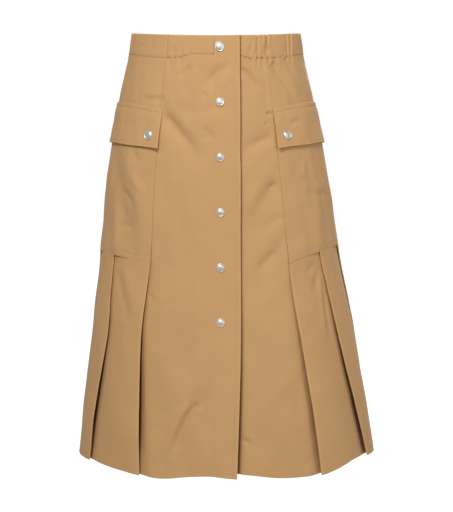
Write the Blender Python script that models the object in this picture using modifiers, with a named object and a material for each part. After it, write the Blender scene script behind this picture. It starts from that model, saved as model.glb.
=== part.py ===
"""A pleated midi skirt in tan cotton twill, filled out as it is worn.

Metres, +Z up, the front faces -Y, so the wearer's right side is at -X.
The origin is the middle of the waist, inside the band that the wearer's waist holds up.
The cloth is laid on a smooth hollow tube of oval sections. A place on it is an angle round
the tube (0 at the front, 90 at the wearer's left side, 180 at the back), a height, and how
far the cloth's middle layer lies outside the tube. Each piece is an open sheet with a wall.
"""
import math
from collections import namedtuple

import bmesh
import bpy
from mathutils import Matrix, Vector

COLLECTION = "pleated_midi_skirt"

# Cloth
WALL = 0.0010            # one layer of cloth
SEAM = 0.0003            # gap left between two pieces at a seam
LAYER = 0.0014           # from the middle of one layer to the middle of the next one on it
BAND_WALL = 0.0018       # the folded waistband
BAND_OUT = 0.0007        # the band stands this far outside the panels

# Heights
BAND_TOP_FRONT = 0.0195
BAND_TOP_RISE = 0.0035   # the band's top edge is higher at the sides than in front
BAND_BOTTOM_FLAT = -0.0095
BAND_BOTTOM_GATHERED = -0.0140
BAND_BOTTOM_SIDE = -0.0090
HEM_LEVEL = -0.6655      # the rows above it are set from this
POCKET_BOTTOM = -0.3345
POCKET_BOTTOM_RISE = 0.0110
LEFT_POCKET_BOTTOM_RISE = 0.0200
FLAP_TOP = -0.0935
FLAP_RISE = 0.0085
FLAP_DEPTH = 0.0640
POCKET_TOP_UNDER_FLAP = 0.0180

# The closing down the front: the right front laps over the left one. Distances run from the
# overlap's free edge.
STRIP_WIDTH = 0.0395     # to the seam beside the strip
UNDERLAP_WIDTH = 0.0550  # to the underlap's own edge, out of sight
UNDERLAP_SHOWS = 0.0040  # to the first column of the underlap that is in sight
OVERLAP_OUT = 0.0009     # how far the two stand apart from the tube where they lap
UNDERLAP_IN = 0.0007
OVERLAP_RISE = (0.082, 0.060)
UNDERLAP_SINK = (0.022, 0.002)
PLACKET_OPEN_FROM = -0.330
PLACKET_OPEN_HEM = 0.0035   # how far the closing stands open at the hem
PLACKET_OPEN_WIDTH = 0.050
UNDERLAP_FALLS_BACK = 0.4   # the share of that opening by which the underlap sinks
OVERLAP_HEM_DROP = 0.0027
UNDERLAP_HEM_RISE = 0.0035

# The side pieces and their pleats
PRINCESS_ANGLE = 34.5    # about where the seam between a front and a side lies
SIDE_SEAM_ANGLE = 112.0  # seam between the side and the back, at the pocket's height
SIDE_SEAM_SPREAD = 10.0  # and further back at the hem
UNDERLAY_TOP = 0.026
UNDERLAY_HEM = 0.042
REAR_UNDERLAY = 1.32     # the rear pleat's underlay is this much of the others' depth
PLEAT_LIFT = 0.0065      # how far a pleat's edge stands off at the hem
FRONT_FLARE = 0.0030     # how far the front panel's hidden edge sinks at the hem
FRONT_FLARE_WIDTH = 0.020

# Snaps
SNAP_PITCH = 0.0850
SNAP_FIRST_Z = 0.0026
SNAP_ROWS = 5            # below the one on the band
SNAP_FROM_EDGE = 0.0305
FRONT_SNAP = 0.0132
BIG_SNAP = 0.0152
FLAP_SNAP_IN = 0.0190    # from the flap's front or rear edge
FLAP_SNAP_UP = 0.0210    # above the flap's lower edge
SNAP_GAP = 0.0004
SNAP_SIDES = 14

RIGHT, LEFT = -1, 1      # the wearer's sides, as the sign of X

Section = namedtuple("Section", "z half_width front_depth back_depth centre_x")
SECTIONS = [
    Section(0.016, 0.1350, 0.0920, 0.0980, 0.0000),
    Section(-0.016, 0.1400, 0.0960, 0.1030, 0.0000),
    Section(-0.075, 0.1540, 0.1080, 0.1200, 0.0004),
    Section(-0.150, 0.1660, 0.1180, 0.1380, 0.0015),
    Section(-0.240, 0.1795, 0.1260, 0.1500, 0.0035),
    Section(-0.340, 0.1920, 0.1340, 0.1550, 0.0065),
    Section(-0.450, 0.2095, 0.1460, 0.1630, 0.0110),
    Section(-0.560, 0.2245, 0.1570, 0.1720, 0.0140),
    Section(-0.665, 0.2370, 0.1670, 0.1820, 0.0160),
]

# The hem's height round the body, a little higher at the sides
Hem = namedtuple("Hem", "angle z")
HEM = [
    Hem(-180.0, -0.6650),
    Hem(-112.0, -0.6560),
    Hem(-66.0, -0.6545),
    Hem(-45.0, -0.6600),
    Hem(-25.0, -0.6665),
    Hem(-9.0, -0.6600),
    Hem(4.0, -0.6605),
    Hem(25.0, -0.6665),
    Hem(39.0, -0.6640),
    Hem(61.0, -0.6500),
    Hem(112.0, -0.6560),
    Hem(180.0, -0.6650),
]

# The free edge of the overlap, which hangs almost straight down
PlacketEdge = namedtuple("PlacketEdge", "z x")
PLACKET = [
    PlacketEdge(0.020, 0.0364),
    PlacketEdge(-0.090, 0.0374),
    PlacketEdge(-0.320, 0.0382),
    PlacketEdge(-0.455, 0.0383),
    PlacketEdge(-0.560, 0.0358),
    PlacketEdge(-0.665, 0.0325),
]

# Angles of the seams and folded edges on each side of the body
Edge = namedtuple("Edge", "z right left")
PRINCESS = [Edge(0.020, 33.0, 36.2), Edge(-0.090, 34.0, 34.6), Edge(-0.334, 34.0, 34.2)]
FRONT_PLEAT = [
    Edge(-0.334, 34.2, 34.0),
    Edge(-0.390, 36.0, 34.2),
    Edge(-0.450, 37.0, 35.0),
    Edge(-0.510, 36.5, 35.9),
    Edge(-0.570, 35.6, 36.9),
    Edge(-0.665, 34.5, 38.0),
]
MIDDLE_PLEAT = [
    Edge(-0.334, 60.6, 55.7),
    Edge(-0.394, 60.6, 57.4),
    Edge(-0.450, 59.2, 58.5),
    Edge(-0.510, 60.5, 60.3),
    Edge(-0.560, 62.6, 63.0),
    Edge(-0.665, 64.7, 69.0),
]
REAR_PLEAT = [
    Edge(-0.334, 89.0, 83.5),
    Edge(-0.400, 93.0, 89.5),
    Edge(-0.480, 97.0, 96.5),
    Edge(-0.570, 100.0, 101.0),
    Edge(-0.665, 102.0, 103.0),
]
PLEATS = [FRONT_PLEAT, MIDDLE_PLEAT, REAR_PLEAT]

# Gathers of the elasticated band: angles of a stretch, how many folds it has, their depth
FLAT_RIGHT = (-13.0, -26.0)  # the band goes from flat to gathered between these angles
FLAT_LEFT = (12.0, 24.0)
NARROWER = (34.0, 80.0)      # and grows narrower between these, on both sides
Gather = namedtuple("Gather", "start end folds depth")
GATHERS = [
    Gather(-32.0, -14.0, 4, 0.0005),
    Gather(17.0, 35.0, 6, 0.0012),
    Gather(35.0, 47.0, 2, 0.0005),
    Gather(47.0, 64.0, 4, 0.0012),
    Gather(64.0, 122.0, 8, 0.0010),
    Gather(122.0, 238.0, 15, 0.0012),
    Gather(238.0, 296.0, 7, 0.0009),
    Gather(296.0, 325.0, 2, 0.0005),
]

# The largest soft folds: a line from one place to another, its half width and its height,
# which is below zero for a trough
FOLD_END = 1.5            # a fold runs out over this many half widths past its ends
FOLD_FADE_DEGREES = 4.0   # and dies away this close to the seam between front and side
FOLD_FADE_BELOW_BAND = 0.030
Fold = namedtuple("Fold", "angle z end_angle end_z spread height")
FOLDS = [
    Fold(-2.0, -0.035, -12.0, -0.085, 0.014, -0.0022),
    Fold(-31.0, -0.100, -11.0, -0.165, 0.013, -0.0024),
    Fold(-24.0, -0.090, -4.0, -0.105, 0.016, 0.0020),
    Fold(18.0, -0.035, 34.0, -0.085, 0.013, -0.0022),
    Fold(37.0, -0.025, 50.0, -0.080, 0.013, -0.0020),
    Fold(33.0, -0.130, 16.0, -0.160, 0.015, -0.0020),
    Fold(33.0, -0.205, 20.0, -0.270, 0.018, -0.0030),
    Fold(30.0, -0.190, 18.0, -0.235, 0.018, 0.0020),
    Fold(30.0, -0.315, 19.0, -0.360, 0.018, -0.0024),
    Fold(-9.0, -0.550, -19.0, -0.650, 0.020, -0.0034),
    Fold(-16.0, -0.530, -26.0, -0.665, 0.020, 0.0026),
    Fold(-54.0, -0.175, -42.0, -0.245, 0.018, 0.0022),
    Fold(-66.0, -0.190, -54.0, -0.260, 0.018, -0.0022),
    Fold(46.0, -0.200, 60.0, -0.235, 0.018, -0.0022),
    Fold(24.0, -0.560, 27.0, -0.665, 0.024, -0.0030),
    Fold(128.0, -0.060, 140.0, -0.150, 0.020, -0.0024),
    Fold(232.0, -0.060, 218.0, -0.150, 0.020, -0.0024),
    Fold(176.0, -0.330, 180.0, -0.665, 0.030, 0.0060),
    Fold(154.0, -0.360, 150.0, -0.665, 0.028, -0.0055),
    Fold(206.0, -0.340, 211.0, -0.665, 0.028, -0.0060),
    Fold(134.0, -0.400, 131.0, -0.665, 0.026, 0.0045),
    Fold(226.0, -0.420, 231.0, -0.665, 0.026, 0.0040),
]


def blend(value, start, end):
    """0 before start, 1 after end, smooth between. Start may be above end."""
    t = min(1.0, max(0.0, (value - start) / (end - start)))
    return t * t * (3.0 - 2.0 * t)


def along(rows, place, column):
    """A table's column at a place, on a smooth curve through the rows; places come first."""
    places = [row[0] for row in rows]
    values = [getattr(row, column) for row in rows]
    last = len(rows) - 1

    def slope(i):
        a, b = max(0, i - 1), min(last, i + 1)
        return (values[b] - values[a]) / (places[b] - places[a])

    for end, inner in ((0, 1), (last, last - 1)):
        if (place - places[end]) * (places[end] - places[inner]) >= 0.0:
            return values[end] + slope(end) * (place - places[end])
    i = next(k for k in range(last) if (place - places[k]) * (place - places[k + 1]) <= 0.0)
    span = places[i + 1] - places[i]
    t = (place - places[i]) / span
    return (
        (2 * t**3 - 3 * t**2 + 1) * values[i]
        + (t**3 - 2 * t**2 + t) * slope(i) * span
        + (3 * t**2 - 2 * t**3) * values[i + 1]
        + (t**3 - t**2) * slope(i + 1) * span
    )


def edge_angle(rows, side, z):
    """The angle of a seam or folded edge on one side of the body."""
    return side * along(rows, z, "left" if side == LEFT else "right")


def section(angle, z):
    """Half width, depth and centre of the oval at a height, the depth for front or back."""
    depth = "front_depth" if math.cos(math.radians(angle)) > 0 else "back_depth"
    return along(SECTIONS, z, "half_width"), along(SECTIONS, z, depth), along(SECTIONS, z, "centre_x")


def tube(angle, z, out=0.0):
    """A point on the tube, moved straight out of it by out."""
    half_width, depth, centre_x = section(angle, z)
    turn = math.radians(angle)
    on_tube = Vector((centre_x + half_width * math.sin(turn), -depth * math.cos(turn), z))
    outward = Vector((math.sin(turn) / half_width, -math.cos(turn) / depth, 0.0)).normalized()
    return on_tube + outward * out


def degrees_for(length, angle, z):
    """How many degrees a short length round the tube covers."""
    half_width, depth, _ = section(angle, z)
    turn = math.radians(angle)
    return math.degrees(length / math.hypot(half_width * math.cos(turn), depth * math.sin(turn)))


def angle_at_x(x, z):
    """The front angle where the tube has this X."""
    half_width, _, centre_x = section(0.0, z)
    return math.degrees(math.asin((x - centre_x) / half_width))


def soft_folds(angle, z):
    """Height of the large soft folds at a place. It ends in nothing at the band and the seams."""
    height = 0.0
    here = Vector((math.radians(angle % 360.0 if angle < -90.0 else angle), z))
    for fold in FOLDS:
        round_scale = section(fold.angle, fold.z)[0]
        start = Vector((math.radians(fold.angle) * round_scale, fold.z))
        run = Vector((math.radians(fold.end_angle) * round_scale, fold.end_z)) - start
        place = Vector((here.x * round_scale, here.y)) - start
        share = place.dot(run) / run.length_squared
        aside = (place.x * run.y - place.y * run.x) / run.length / fold.spread
        past = max(0.0, -share, share - 1.0) * run.length / (FOLD_END * fold.spread)
        if (abs(fold.angle) < PRINCESS_ANGLE) == (abs(angle) < PRINCESS_ANGLE):
            height += fold.height * math.exp(-(aside**2) - past**2)
    from_seam = blend(abs(abs(angle) - PRINCESS_ANGLE), 0.0, FOLD_FADE_DEGREES)
    from_band = blend(z, BAND_BOTTOM_GATHERED, BAND_BOTTOM_GATHERED - FOLD_FADE_BELOW_BAND)
    return height * from_seam * from_band


def band_top(angle):
    return BAND_TOP_FRONT + BAND_TOP_RISE * math.sin(math.radians(angle)) ** 2


def band_bottom(angle):
    gathered = max(blend(angle, *FLAT_RIGHT), blend(angle, *FLAT_LEFT))
    from_front = math.degrees(math.acos(math.cos(math.radians(angle))))
    narrower = (BAND_BOTTOM_SIDE - BAND_BOTTOM_GATHERED) * blend(from_front, *NARROWER)
    return BAND_BOTTOM_FLAT + (BAND_BOTTOM_GATHERED - BAND_BOTTOM_FLAT) * gathered + narrower


def hem(angle):
    return along(HEM, (angle + 180.0) % 360.0 - 180.0, "z")


def arched(angle, level, rise):
    """A line across the side that is highest at the middle of the side."""
    across = (abs(angle) - PRINCESS_ANGLE) / (SIDE_SEAM_ANGLE - PRINCESS_ANGLE)
    return level + rise * 4.0 * across * (1.0 - across)


def pocket_bottom(angle):
    rise = LEFT_POCKET_BOTTOM_RISE if angle > 0.0 else POCKET_BOTTOM_RISE
    return arched(angle, POCKET_BOTTOM, rise)


def side_seam(z):
    below_pocket = min(1.0, max(0.0, (POCKET_BOTTOM - z) / (POCKET_BOTTOM - HEM_LEVEL)))
    return SIDE_SEAM_ANGLE + SIDE_SEAM_SPREAD * below_pocket


def material(name, colour, roughness, metallic=0.0):
    """A plain finish, made once and then shared."""
    finish = bpy.data.materials.get(name) or bpy.data.materials.new(name)
    finish.use_nodes = True
    shader = finish.node_tree.nodes["Principled BSDF"]
    shader.inputs["Base Color"].default_value = (*colour, 1.0)
    shader.inputs["Roughness"].default_value = roughness
    shader.inputs["Metallic"].default_value = metallic
    return finish


def add_object(name, mesh, finish):
    mesh.materials.append(finish)
    made = bpy.data.objects.new(name, mesh)
    bpy.data.collections[COLLECTION].objects.link(made)
    return made


def cloth(name, rows, columns, point, wall=WALL, keep=None):
    """A grid laid on its points, with a wall. keep says which squares belong to the piece."""
    down, across = len(rows) - 1, len(columns) - 1
    sheet = bmesh.new()
    bmesh.ops.create_grid(sheet, x_segments=across, y_segments=down, size=1.0)

    def cell(place):
        """How many rows and columns a place on the flat grid is from its first corner."""
        return (place.y + 1.0) / 2.0 * down, (place.x + 1.0) / 2.0 * across

    if keep is not None:
        cells = [(face, *cell(face.calc_center_median())) for face in sheet.faces]
        cut_off = [face for face, i, j in cells if not keep(rows[int(i)], columns[int(j)])]
        bmesh.ops.delete(sheet, geom=cut_off, context="FACES")
    for corner in sheet.verts:
        i, j = cell(corner.co)
        corner.co = point(rows[round(i)], columns[round(j)])
    bmesh.ops.recalc_face_normals(sheet, faces=sheet.faces)
    mesh = bpy.data.meshes.new(name)
    sheet.to_mesh(mesh)
    sheet.free()
    mesh.shade_smooth()
    made = add_object(name, mesh, material(f"{name}_cloth", CLOTH_COLOUR, CLOTH_ROUGHNESS))
    thicken = made.modifiers.new("wall", "SOLIDIFY")
    thicken.thickness = wall
    thicken.offset = 0.0
    thicken.use_even_offset = True
    return made


# Fronts -------------------------------------------------------------------------------
# A front's rows are heights. Its columns are shares of its width: 0 at its free edge,
# 1 at the end of the strip or underlap, 2 at the seam with the side, 3 at the end of the
# part that lies under the front pleat.
FRONT_ROWS = [
    BAND_TOP_FRONT, 0.005, BAND_BOTTOM_FLAT, -0.030, -0.050, -0.072, -0.095, -0.120, -0.145,
    -0.170, -0.195, -0.220, -0.247, -0.275, -0.303, POCKET_BOTTOM, -0.350, -0.380, -0.415,
    -0.455, -0.495, -0.535, -0.575, -0.612, -0.642, HEM_LEVEL,
]
FRONT_COLUMNS = [0.0, 0.18, 0.6, 1.0, 1.12, 1.24, 1.36, 1.48, 1.60, 1.72, 1.84, 1.94, 2.0, 2.33, 2.67, 3.0]


def under_pleat(rows, side, z):
    """How many degrees the cloth reaches under a pleat's edge."""
    depth = UNDERLAY_TOP + (UNDERLAY_HEM - UNDERLAY_TOP) * blend(z, POCKET_BOTTOM, HEM_LEVEL)
    return degrees_for(depth, edge_angle(rows, side, z), z)


def front_angle(side, z, share):
    """The angle of a column of a front."""
    edge_x = along(PLACKET, z, "x")
    line_x = edge_x - STRIP_WIDTH
    if side == LEFT:
        edge_x, line_x = edge_x - UNDERLAP_WIDTH, edge_x + UNDERLAP_SHOWS
    outer = edge_angle(PRINCESS, side, z)
    if z < POCKET_BOTTOM:
        outer = edge_angle(FRONT_PLEAT, side, z)
    free, line = angle_at_x(edge_x, z), angle_at_x(line_x, z)
    if share <= 1.0:
        return free + (line - free) * share
    if share <= 2.0:
        return line + (outer - line) * (share - 1.0)
    return outer + side * under_pleat(FRONT_PLEAT, side, z) * (share - 2.0)


def front_level(angle, z, side):
    """How far a front lies outside the tube: the overlap on the underlap, folds, the flare."""
    edge = angle_at_x(along(PLACKET, z, "x"), z)
    opening = PLACKET_OPEN_HEM * blend(z, PLACKET_OPEN_FROM, HEM_LEVEL)
    if side == RIGHT:
        near = blend(angle, *(edge - degrees_for(away, edge, z) for away in OVERLAP_RISE))
        level = OVERLAP_OUT * near
        level += opening * blend(angle, edge - degrees_for(PLACKET_OPEN_WIDTH, edge, z), edge)
    else:
        near = blend(angle, *(edge + degrees_for(away, edge, z) for away in UNDERLAP_SINK))
        level = -(UNDERLAP_IN + UNDERLAP_FALLS_BACK * opening) * near
    pleat = edge_angle(FRONT_PLEAT, side, z)
    hidden = blend(abs(angle), abs(pleat) - degrees_for(FRONT_FLARE_WIDTH, pleat, z), abs(pleat))
    return level + soft_folds(angle, z) - FRONT_FLARE * hidden * blend(z, POCKET_BOTTOM, HEM_LEVEL)


def front_height(side, row, angle, share):
    """A row's height: it follows the band's edges, the pocket's bottom and the hem."""
    if row > BAND_BOTTOM_FLAT:
        return row + band_top(angle) - BAND_TOP_FRONT
    if row == BAND_BOTTOM_FLAT:
        return band_bottom(angle) - SEAM
    if row == POCKET_BOTTOM:
        return (pocket_bottom(angle) if share >= 2.0 else row) - 2 * SEAM
    if row > HEM_LEVEL:
        return row
    if side == RIGHT:
        return hem(angle) - OVERLAP_HEM_DROP * blend(share, 1.5, 0.0)
    return hem(angle) + UNDERLAP_HEM_RISE * blend(share, 1.6, 1.0)


def front(name, side):
    def point(row, share):
        angle = front_angle(side, row, share)
        z = front_height(side, row, angle, share)
        edge = edge_angle(PRINCESS, side, row)
        if share == 2.0 and row > POCKET_BOTTOM:
            angle = edge - side * degrees_for(SEAM / 2, edge, row)
        level_z = max(z, hem(angle))
        return tube(angle, z, front_level(angle, level_z, side))

    def keep(row, share):
        if row > BAND_BOTTOM_FLAT:
            return side == RIGHT and share < 1.0
        return share < 2.0 or row <= POCKET_BOTTOM

    return cloth(name, FRONT_ROWS, FRONT_COLUMNS, point, keep=keep)


# Sides --------------------------------------------------------------------------------
# Columns of the upper side, its pocket and its flap are shares from the princess seam, 0,
# to the seam with the back, 1.
# The pocket's rows are shares from its top edge, 0, to its bottom, 1, and the side has the
# same rows there, so that the pocket lies on it everywhere.
SIDE_STEPS = 13
SIDE_COLUMNS = [i / SIDE_STEPS for i in range(SIDE_STEPS + 1)]
FLAP_COLUMNS = [0.0, 0.5 / SIDE_STEPS] + SIDE_COLUMNS[1:-1] + [1.0 - 0.5 / SIDE_STEPS, 1.0]
POCKET_ROWS = [0.0, 0.12, 0.26, 0.40, 0.55, 0.70, 0.85, 1.0]
SIDE_ROWS = [-1.0, -0.70, -0.40, -0.15] + POCKET_ROWS

# The flap's rows: distance below its top edge, and how far it stands outside the side
FlapRow = namedtuple("FlapRow", "below out")
FLAP_ROWS = [
    FlapRow(0.000, 0.00170),
    FlapRow(0.006, 0.00185),
    FlapRow(0.016, 0.00290),
    FlapRow(0.032, 0.00340),
    FlapRow(0.048, 0.00400),
    FlapRow(FLAP_DEPTH, 0.00430),
]
FLAP_OVERHANG = 0.004    # past the pocket at the rear end
FLAP_OVERHANG_FRONT = (0.0055, 0.0016)   # on the right and on the left
FLAP_CORNER_LIFT = 0.04  # the lower edge is this share of the depth higher at the front corner
POCKET_OUT = 0.00135
POCKET_BULGE = 0.0022


def side_angle(side, z, share):
    """The angle of a column across the side, a hair inside its two seams."""
    seam = edge_angle(PRINCESS, side, z)
    start = seam + side * degrees_for(SEAM / 2, seam, z)
    back = side * (side_seam(z) - degrees_for(SEAM / 2, SIDE_SEAM_ANGLE, z))
    return start + (back - start) * share


def side_place(side, row, share):
    """Angle and height of a place on a side; rows under 0 lie above the pocket."""
    rough = side_angle(side, FLAP_TOP, share)
    pocket_top = arched(rough, FLAP_TOP - POCKET_TOP_UNDER_FLAP, FLAP_RISE)
    at_band = side_angle(side, BAND_BOTTOM_GATHERED, share)
    reach = pocket_bottom(rough) if row > 0.0 else band_bottom(at_band) - SEAM
    z = pocket_top + (reach - pocket_top) * abs(row)
    return side_angle(side, z, share), z


def side_upper(name, side):
    def point(row, share):
        angle, z = side_place(side, row, share)
        return tube(angle, z, soft_folds(angle, z))

    return cloth(name, SIDE_ROWS, SIDE_COLUMNS, point)


def pocket_level(angle, z, share, row):
    """The pocket lies on the side and swells a little; its bottom meets the pleats' top."""
    swell = POCKET_BULGE * math.sin(math.pi * share) * math.sin(math.pi * row) ** 2
    foot = (2 * LAYER - POCKET_OUT) * blend(row, 0.75, 1.0)
    return soft_folds(angle, z) + POCKET_OUT + swell + foot


def pocket(name, side):
    def point(row, share):
        angle, z = side_place(side, row, share)
        return tube(angle, z, pocket_level(angle, z, share, row))

    return cloth(name, POCKET_ROWS, SIDE_COLUMNS, point)


def flap_place(side, below, share):
    """Angle and height of a place on a flap, which is a little wider than the pocket."""
    rough = side_angle(side, FLAP_TOP, share)
    z = arched(rough, FLAP_TOP, FLAP_RISE) - below * (1.0 - FLAP_CORNER_LIFT * blend(share, 0.3, 0.0))
    at_end = max(0.0, 1.0 - SIDE_STEPS * min(share, 1.0 - share))
    overhang = FLAP_OVERHANG if share > 0.5 else -FLAP_OVERHANG_FRONT[side == LEFT]
    return side_angle(side, z, share) + side * degrees_for(overhang, rough, z) * at_end, z


def flap(name, side):
    def point(row, share):
        angle, z = flap_place(side, row.below, share)
        return tube(angle, z, soft_folds(angle, z) + row.out)

    return cloth(name, FLAP_ROWS, FLAP_COLUMNS, point)


# Pleated lower sides --------------------------------------------------------------------
# A step across a pleat: how much of the underlay's depth it lies behind the folded edge,
# how many layers lie under it, and its share of the pleat's standing off at the hem.
Step = namedtuple("Step", "pleat behind layers stand")
LOWER_ROWS = [0.0, 0.03, 0.10, 0.19, 0.29, 0.39, 0.50, 0.61, 0.72, 0.82, 0.92, 1.0]
RETURN_STEPS = [(1.0, 1, 0.06), (0.66, 1, 0.36), (0.33, 1, 0.67), (0.0, 1, 1.0)]
FACE_STEPS = [(0.0, 2, 1.0), (0.33, 2, 0.95), (0.7, 2, 0.82), (1.1, 2, 0.66)]
UNDER_STEPS = [(-0.35, 0.5, 0.12), (0.0, 0, 0.0), (0.5, 0, 0.0), (1.0, 0, 0.0)]


def pleat_path():
    """The cloth's way through the three pleats, from the seam with the front's hidden part."""
    path = []
    for pleat in range(len(PLEATS)):
        if pleat > 0:
            path += [Step(pleat, *step) for step in UNDER_STEPS]
        path += [Step(pleat, *step) for step in RETURN_STEPS + FACE_STEPS]
    path += [Step(len(PLEATS), share, 0, 0.0) for share in (0.0, 0.5, 1.0)]
    return path


def lower_place(side, step, z):
    """Angle and level of a step at a height."""
    spread = blend(z, POCKET_BOTTOM, HEM_LEVEL)
    seam = side * (side_seam(z) - degrees_for(SEAM / 2, SIDE_SEAM_ANGLE, z))
    if step.pleat == len(PLEATS):
        underlay = REAR_UNDERLAY * under_pleat(REAR_PLEAT, side, z)
        last = edge_angle(REAR_PLEAT, side, z) + side * underlay
        return last + (seam - last) * step.behind, LAYER * (1.0 - step.behind)
    rows = PLEATS[step.pleat]
    angle = edge_angle(rows, side, z) + side * step.behind * under_pleat(rows, side, z)
    return angle, LAYER * step.layers + PLEAT_LIFT * spread * step.stand


def side_lower(name, side):
    def point(row, step):
        angle, _ = lower_place(side, step, POCKET_BOTTOM)
        top = pocket_bottom(angle) - 2 * SEAM
        hem_angle, _ = lower_place(side, step, HEM_LEVEL)
        z = top + (hem(hem_angle) - top) * row
        angle, level = lower_place(side, step, z)
        return tube(angle, z, level)

    return cloth(name, LOWER_ROWS, pleat_path(), point)


# Back -----------------------------------------------------------------------------------
BACK_ROWS = [0.0, 0.06, 0.13, 0.21, 0.30, 0.39, 0.48, 0.57, 0.66, 0.75, 0.84, 0.92, 1.0]
BACK_STEPS = 22
BACK_COLUMNS = [i / BACK_STEPS for i in range(BACK_STEPS + 1)]
BACK_FLAT_EDGE = 0.08    # the share of its width by each side seam that has no folds


def back(name):
    def point(row, share):
        rough = SIDE_SEAM_ANGLE + (360.0 - 2 * SIDE_SEAM_ANGLE) * share
        top = band_bottom(90.0) - SEAM
        z = top + (hem(rough) - top) * row
        start = side_seam(z) + degrees_for(SEAM / 2, SIDE_SEAM_ANGLE, z)
        angle = start + (360.0 - 2 * start) * share
        from_edge = blend(min(share, 1.0 - share), 0.0, BACK_FLAT_EDGE)
        return tube(angle, z, soft_folds(angle, z) * from_edge)

    return cloth(name, BACK_ROWS, BACK_COLUMNS, point)


# Waistband ------------------------------------------------------------------------------
BAND_ROWS = [0.0, 0.5, 1.0]
BAND_STEP = 7.0          # the most degrees between two columns of the flat band

# One gather of the band: its points' places across it and their share of its depth
WavePoint = namedtuple("WavePoint", "place height")
WAVE = [WavePoint(0.0, -1.0), WavePoint(0.30, 0.35), WavePoint(0.55, 1.0), WavePoint(0.80, 0.2)]
UNEVEN_PITCH = 0.16
UNEVEN_DEPTH = 0.35

BandColumn = namedtuple("BandColumn", "angle height")


def gather_columns(start, end):
    """Places round a stretch of the band with the height of its gathers, unevenly spaced."""
    columns = []
    for gather in GATHERS:
        pitch = (gather.end - gather.start) / gather.folds
        for fold in range(gather.folds):
            width = 1.0 - UNEVEN_PITCH * math.sin(2.4 * (fold + gather.start))
            depth = gather.depth * (1.0 + UNEVEN_DEPTH * math.cos(1.7 * (fold + gather.end)))
            for point in WAVE:
                angle = gather.start + pitch * (fold + point.place * width)
                columns.append(BandColumn(angle, point.height * depth))
    inside = [column for column in columns if start < column.angle < end]
    return with_flat_columns([BandColumn(start, 0.0), *inside, BandColumn(end, 0.0)])


def with_flat_columns(columns):
    """Adds columns where the band has no gathers, so that it still follows the waist."""
    filled = columns[:1]
    for before, after in zip(columns, columns[1:]):
        parts = math.ceil((after.angle - before.angle) / BAND_STEP)
        step = (after.angle - before.angle) / parts
        filled += [BandColumn(before.angle + step * k, 0.0) for k in range(1, parts)]
        filled.append(after)
    return filled


def band(name, start, end, level):
    """A stretch of the waistband. level gives how far it lies out at an angle."""
    def point(row, column):
        top, bottom = band_top(column.angle), band_bottom(column.angle)
        z = top + (bottom - top) * row
        height = column.height * (1.0 - 0.5 * abs(2.0 * row - 1.0))
        return tube(column.angle, z, level(column.angle) + height)

    return cloth(name, BAND_ROWS, gather_columns(start, end), point, wall=BAND_WALL)


def band_level(angle):
    return BAND_OUT


def underlap_band_level(angle):
    """The end of the band that lies under the overlap is pressed in behind it."""
    edge = angle_at_x(along(PLACKET, 0.0, "x"), 0.0)
    pressed_in = BAND_OUT + UNDERLAP_IN + (BAND_WALL - WALL) / 2 + SEAM / 2
    return BAND_OUT - pressed_in * blend(angle, edge + 4.0, edge + 0.6)


# Snaps ----------------------------------------------------------------------------------
STEP_ON_CLOTH = 0.003    # how far the cloth is felt for its slope under a snap

# A cap's outline: share of its radius, height
CapPoint = namedtuple("CapPoint", "radius height")
CAP = [
    CapPoint(0.00, 0.0024),
    CapPoint(0.42, 0.0022),
    CapPoint(0.68, 0.0014),
    CapPoint(0.74, 0.0015),
    CapPoint(0.92, 0.0017),
    CapPoint(1.00, 0.0010),
    CapPoint(0.94, 0.0000),
    CapPoint(0.00, 0.0000),
]


def snap(name, place, outward, diameter):
    """A domed cap with a raised rim, turned from its outline, on the cloth at a place."""
    outline = bmesh.new()
    corners = [
        outline.verts.new((point.radius * diameter / 2, 0.0, point.height)) for point in CAP
    ]
    for a, b in zip(corners, corners[1:]):
        outline.edges.new((a, b))
    mesh = bpy.data.meshes.new(name)
    outline.to_mesh(mesh)
    outline.free()
    made = add_object(name, mesh, material(f"{name}_metal", METAL_COLOUR, 0.32, 1.0))
    turn = made.modifiers.new("turn", "SCREW")
    turn.steps = turn.render_steps = SNAP_SIDES
    turn.use_merge_vertices = True
    turn.merge_threshold = 0.00005
    turn.use_smooth_shade = True
    upright = outward.to_track_quat("Z", "Y").to_matrix().to_4x4()
    made.matrix_world = Matrix.Translation(place + outward * (WALL / 2 + SNAP_GAP)) @ upright
    return made


def surface_frame(point_at):
    """A place and the outward direction there, from three points of the cloth."""
    place = point_at(0.0, 0.0)
    beside, below = point_at(STEP_ON_CLOTH, 0.0), point_at(0.0, -STEP_ON_CLOTH)
    return place, (below - place).cross(beside - place).normalized()


def front_snap(name, z, diameter):
    def point_at(right, up):
        height = z + up
        angle = angle_at_x(along(PLACKET, z, "x") - SNAP_FROM_EDGE + right, height)
        return tube(angle, height, front_level(angle, height, RIGHT))

    return snap(name, *surface_frame(point_at), diameter)


def flap_snap(name, side, rear):
    def point_at(right, up):
        below = FLAP_DEPTH - FLAP_SNAP_UP - up
        corner, z = flap_place(side, below, 1.0 if rear else 0.0)
        inward = -side if rear else side
        angle = corner + degrees_for(inward * FLAP_SNAP_IN + right, corner, z)
        out = next(
            a.out + (b.out - a.out) * (below - a.below) / (b.below - a.below)
            for a, b in zip(FLAP_ROWS, FLAP_ROWS[1:]) if a.below <= below <= b.below
        )
        return tube(angle, z, soft_folds(angle, z) + out)

    return snap(name, *surface_frame(point_at), BIG_SNAP)


# The skirt ------------------------------------------------------------------------------
CLOTH_COLOUR = (0.545, 0.325, 0.150)
CLOTH_ROUGHNESS = 0.85
METAL_COLOUR = (0.720, 0.700, 0.660)


def clear_scene():
    for old in list(bpy.data.objects):
        bpy.data.objects.remove(old, do_unlink=True)
    bpy.context.scene.collection.children.link(bpy.data.collections.new(COLLECTION))


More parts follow.
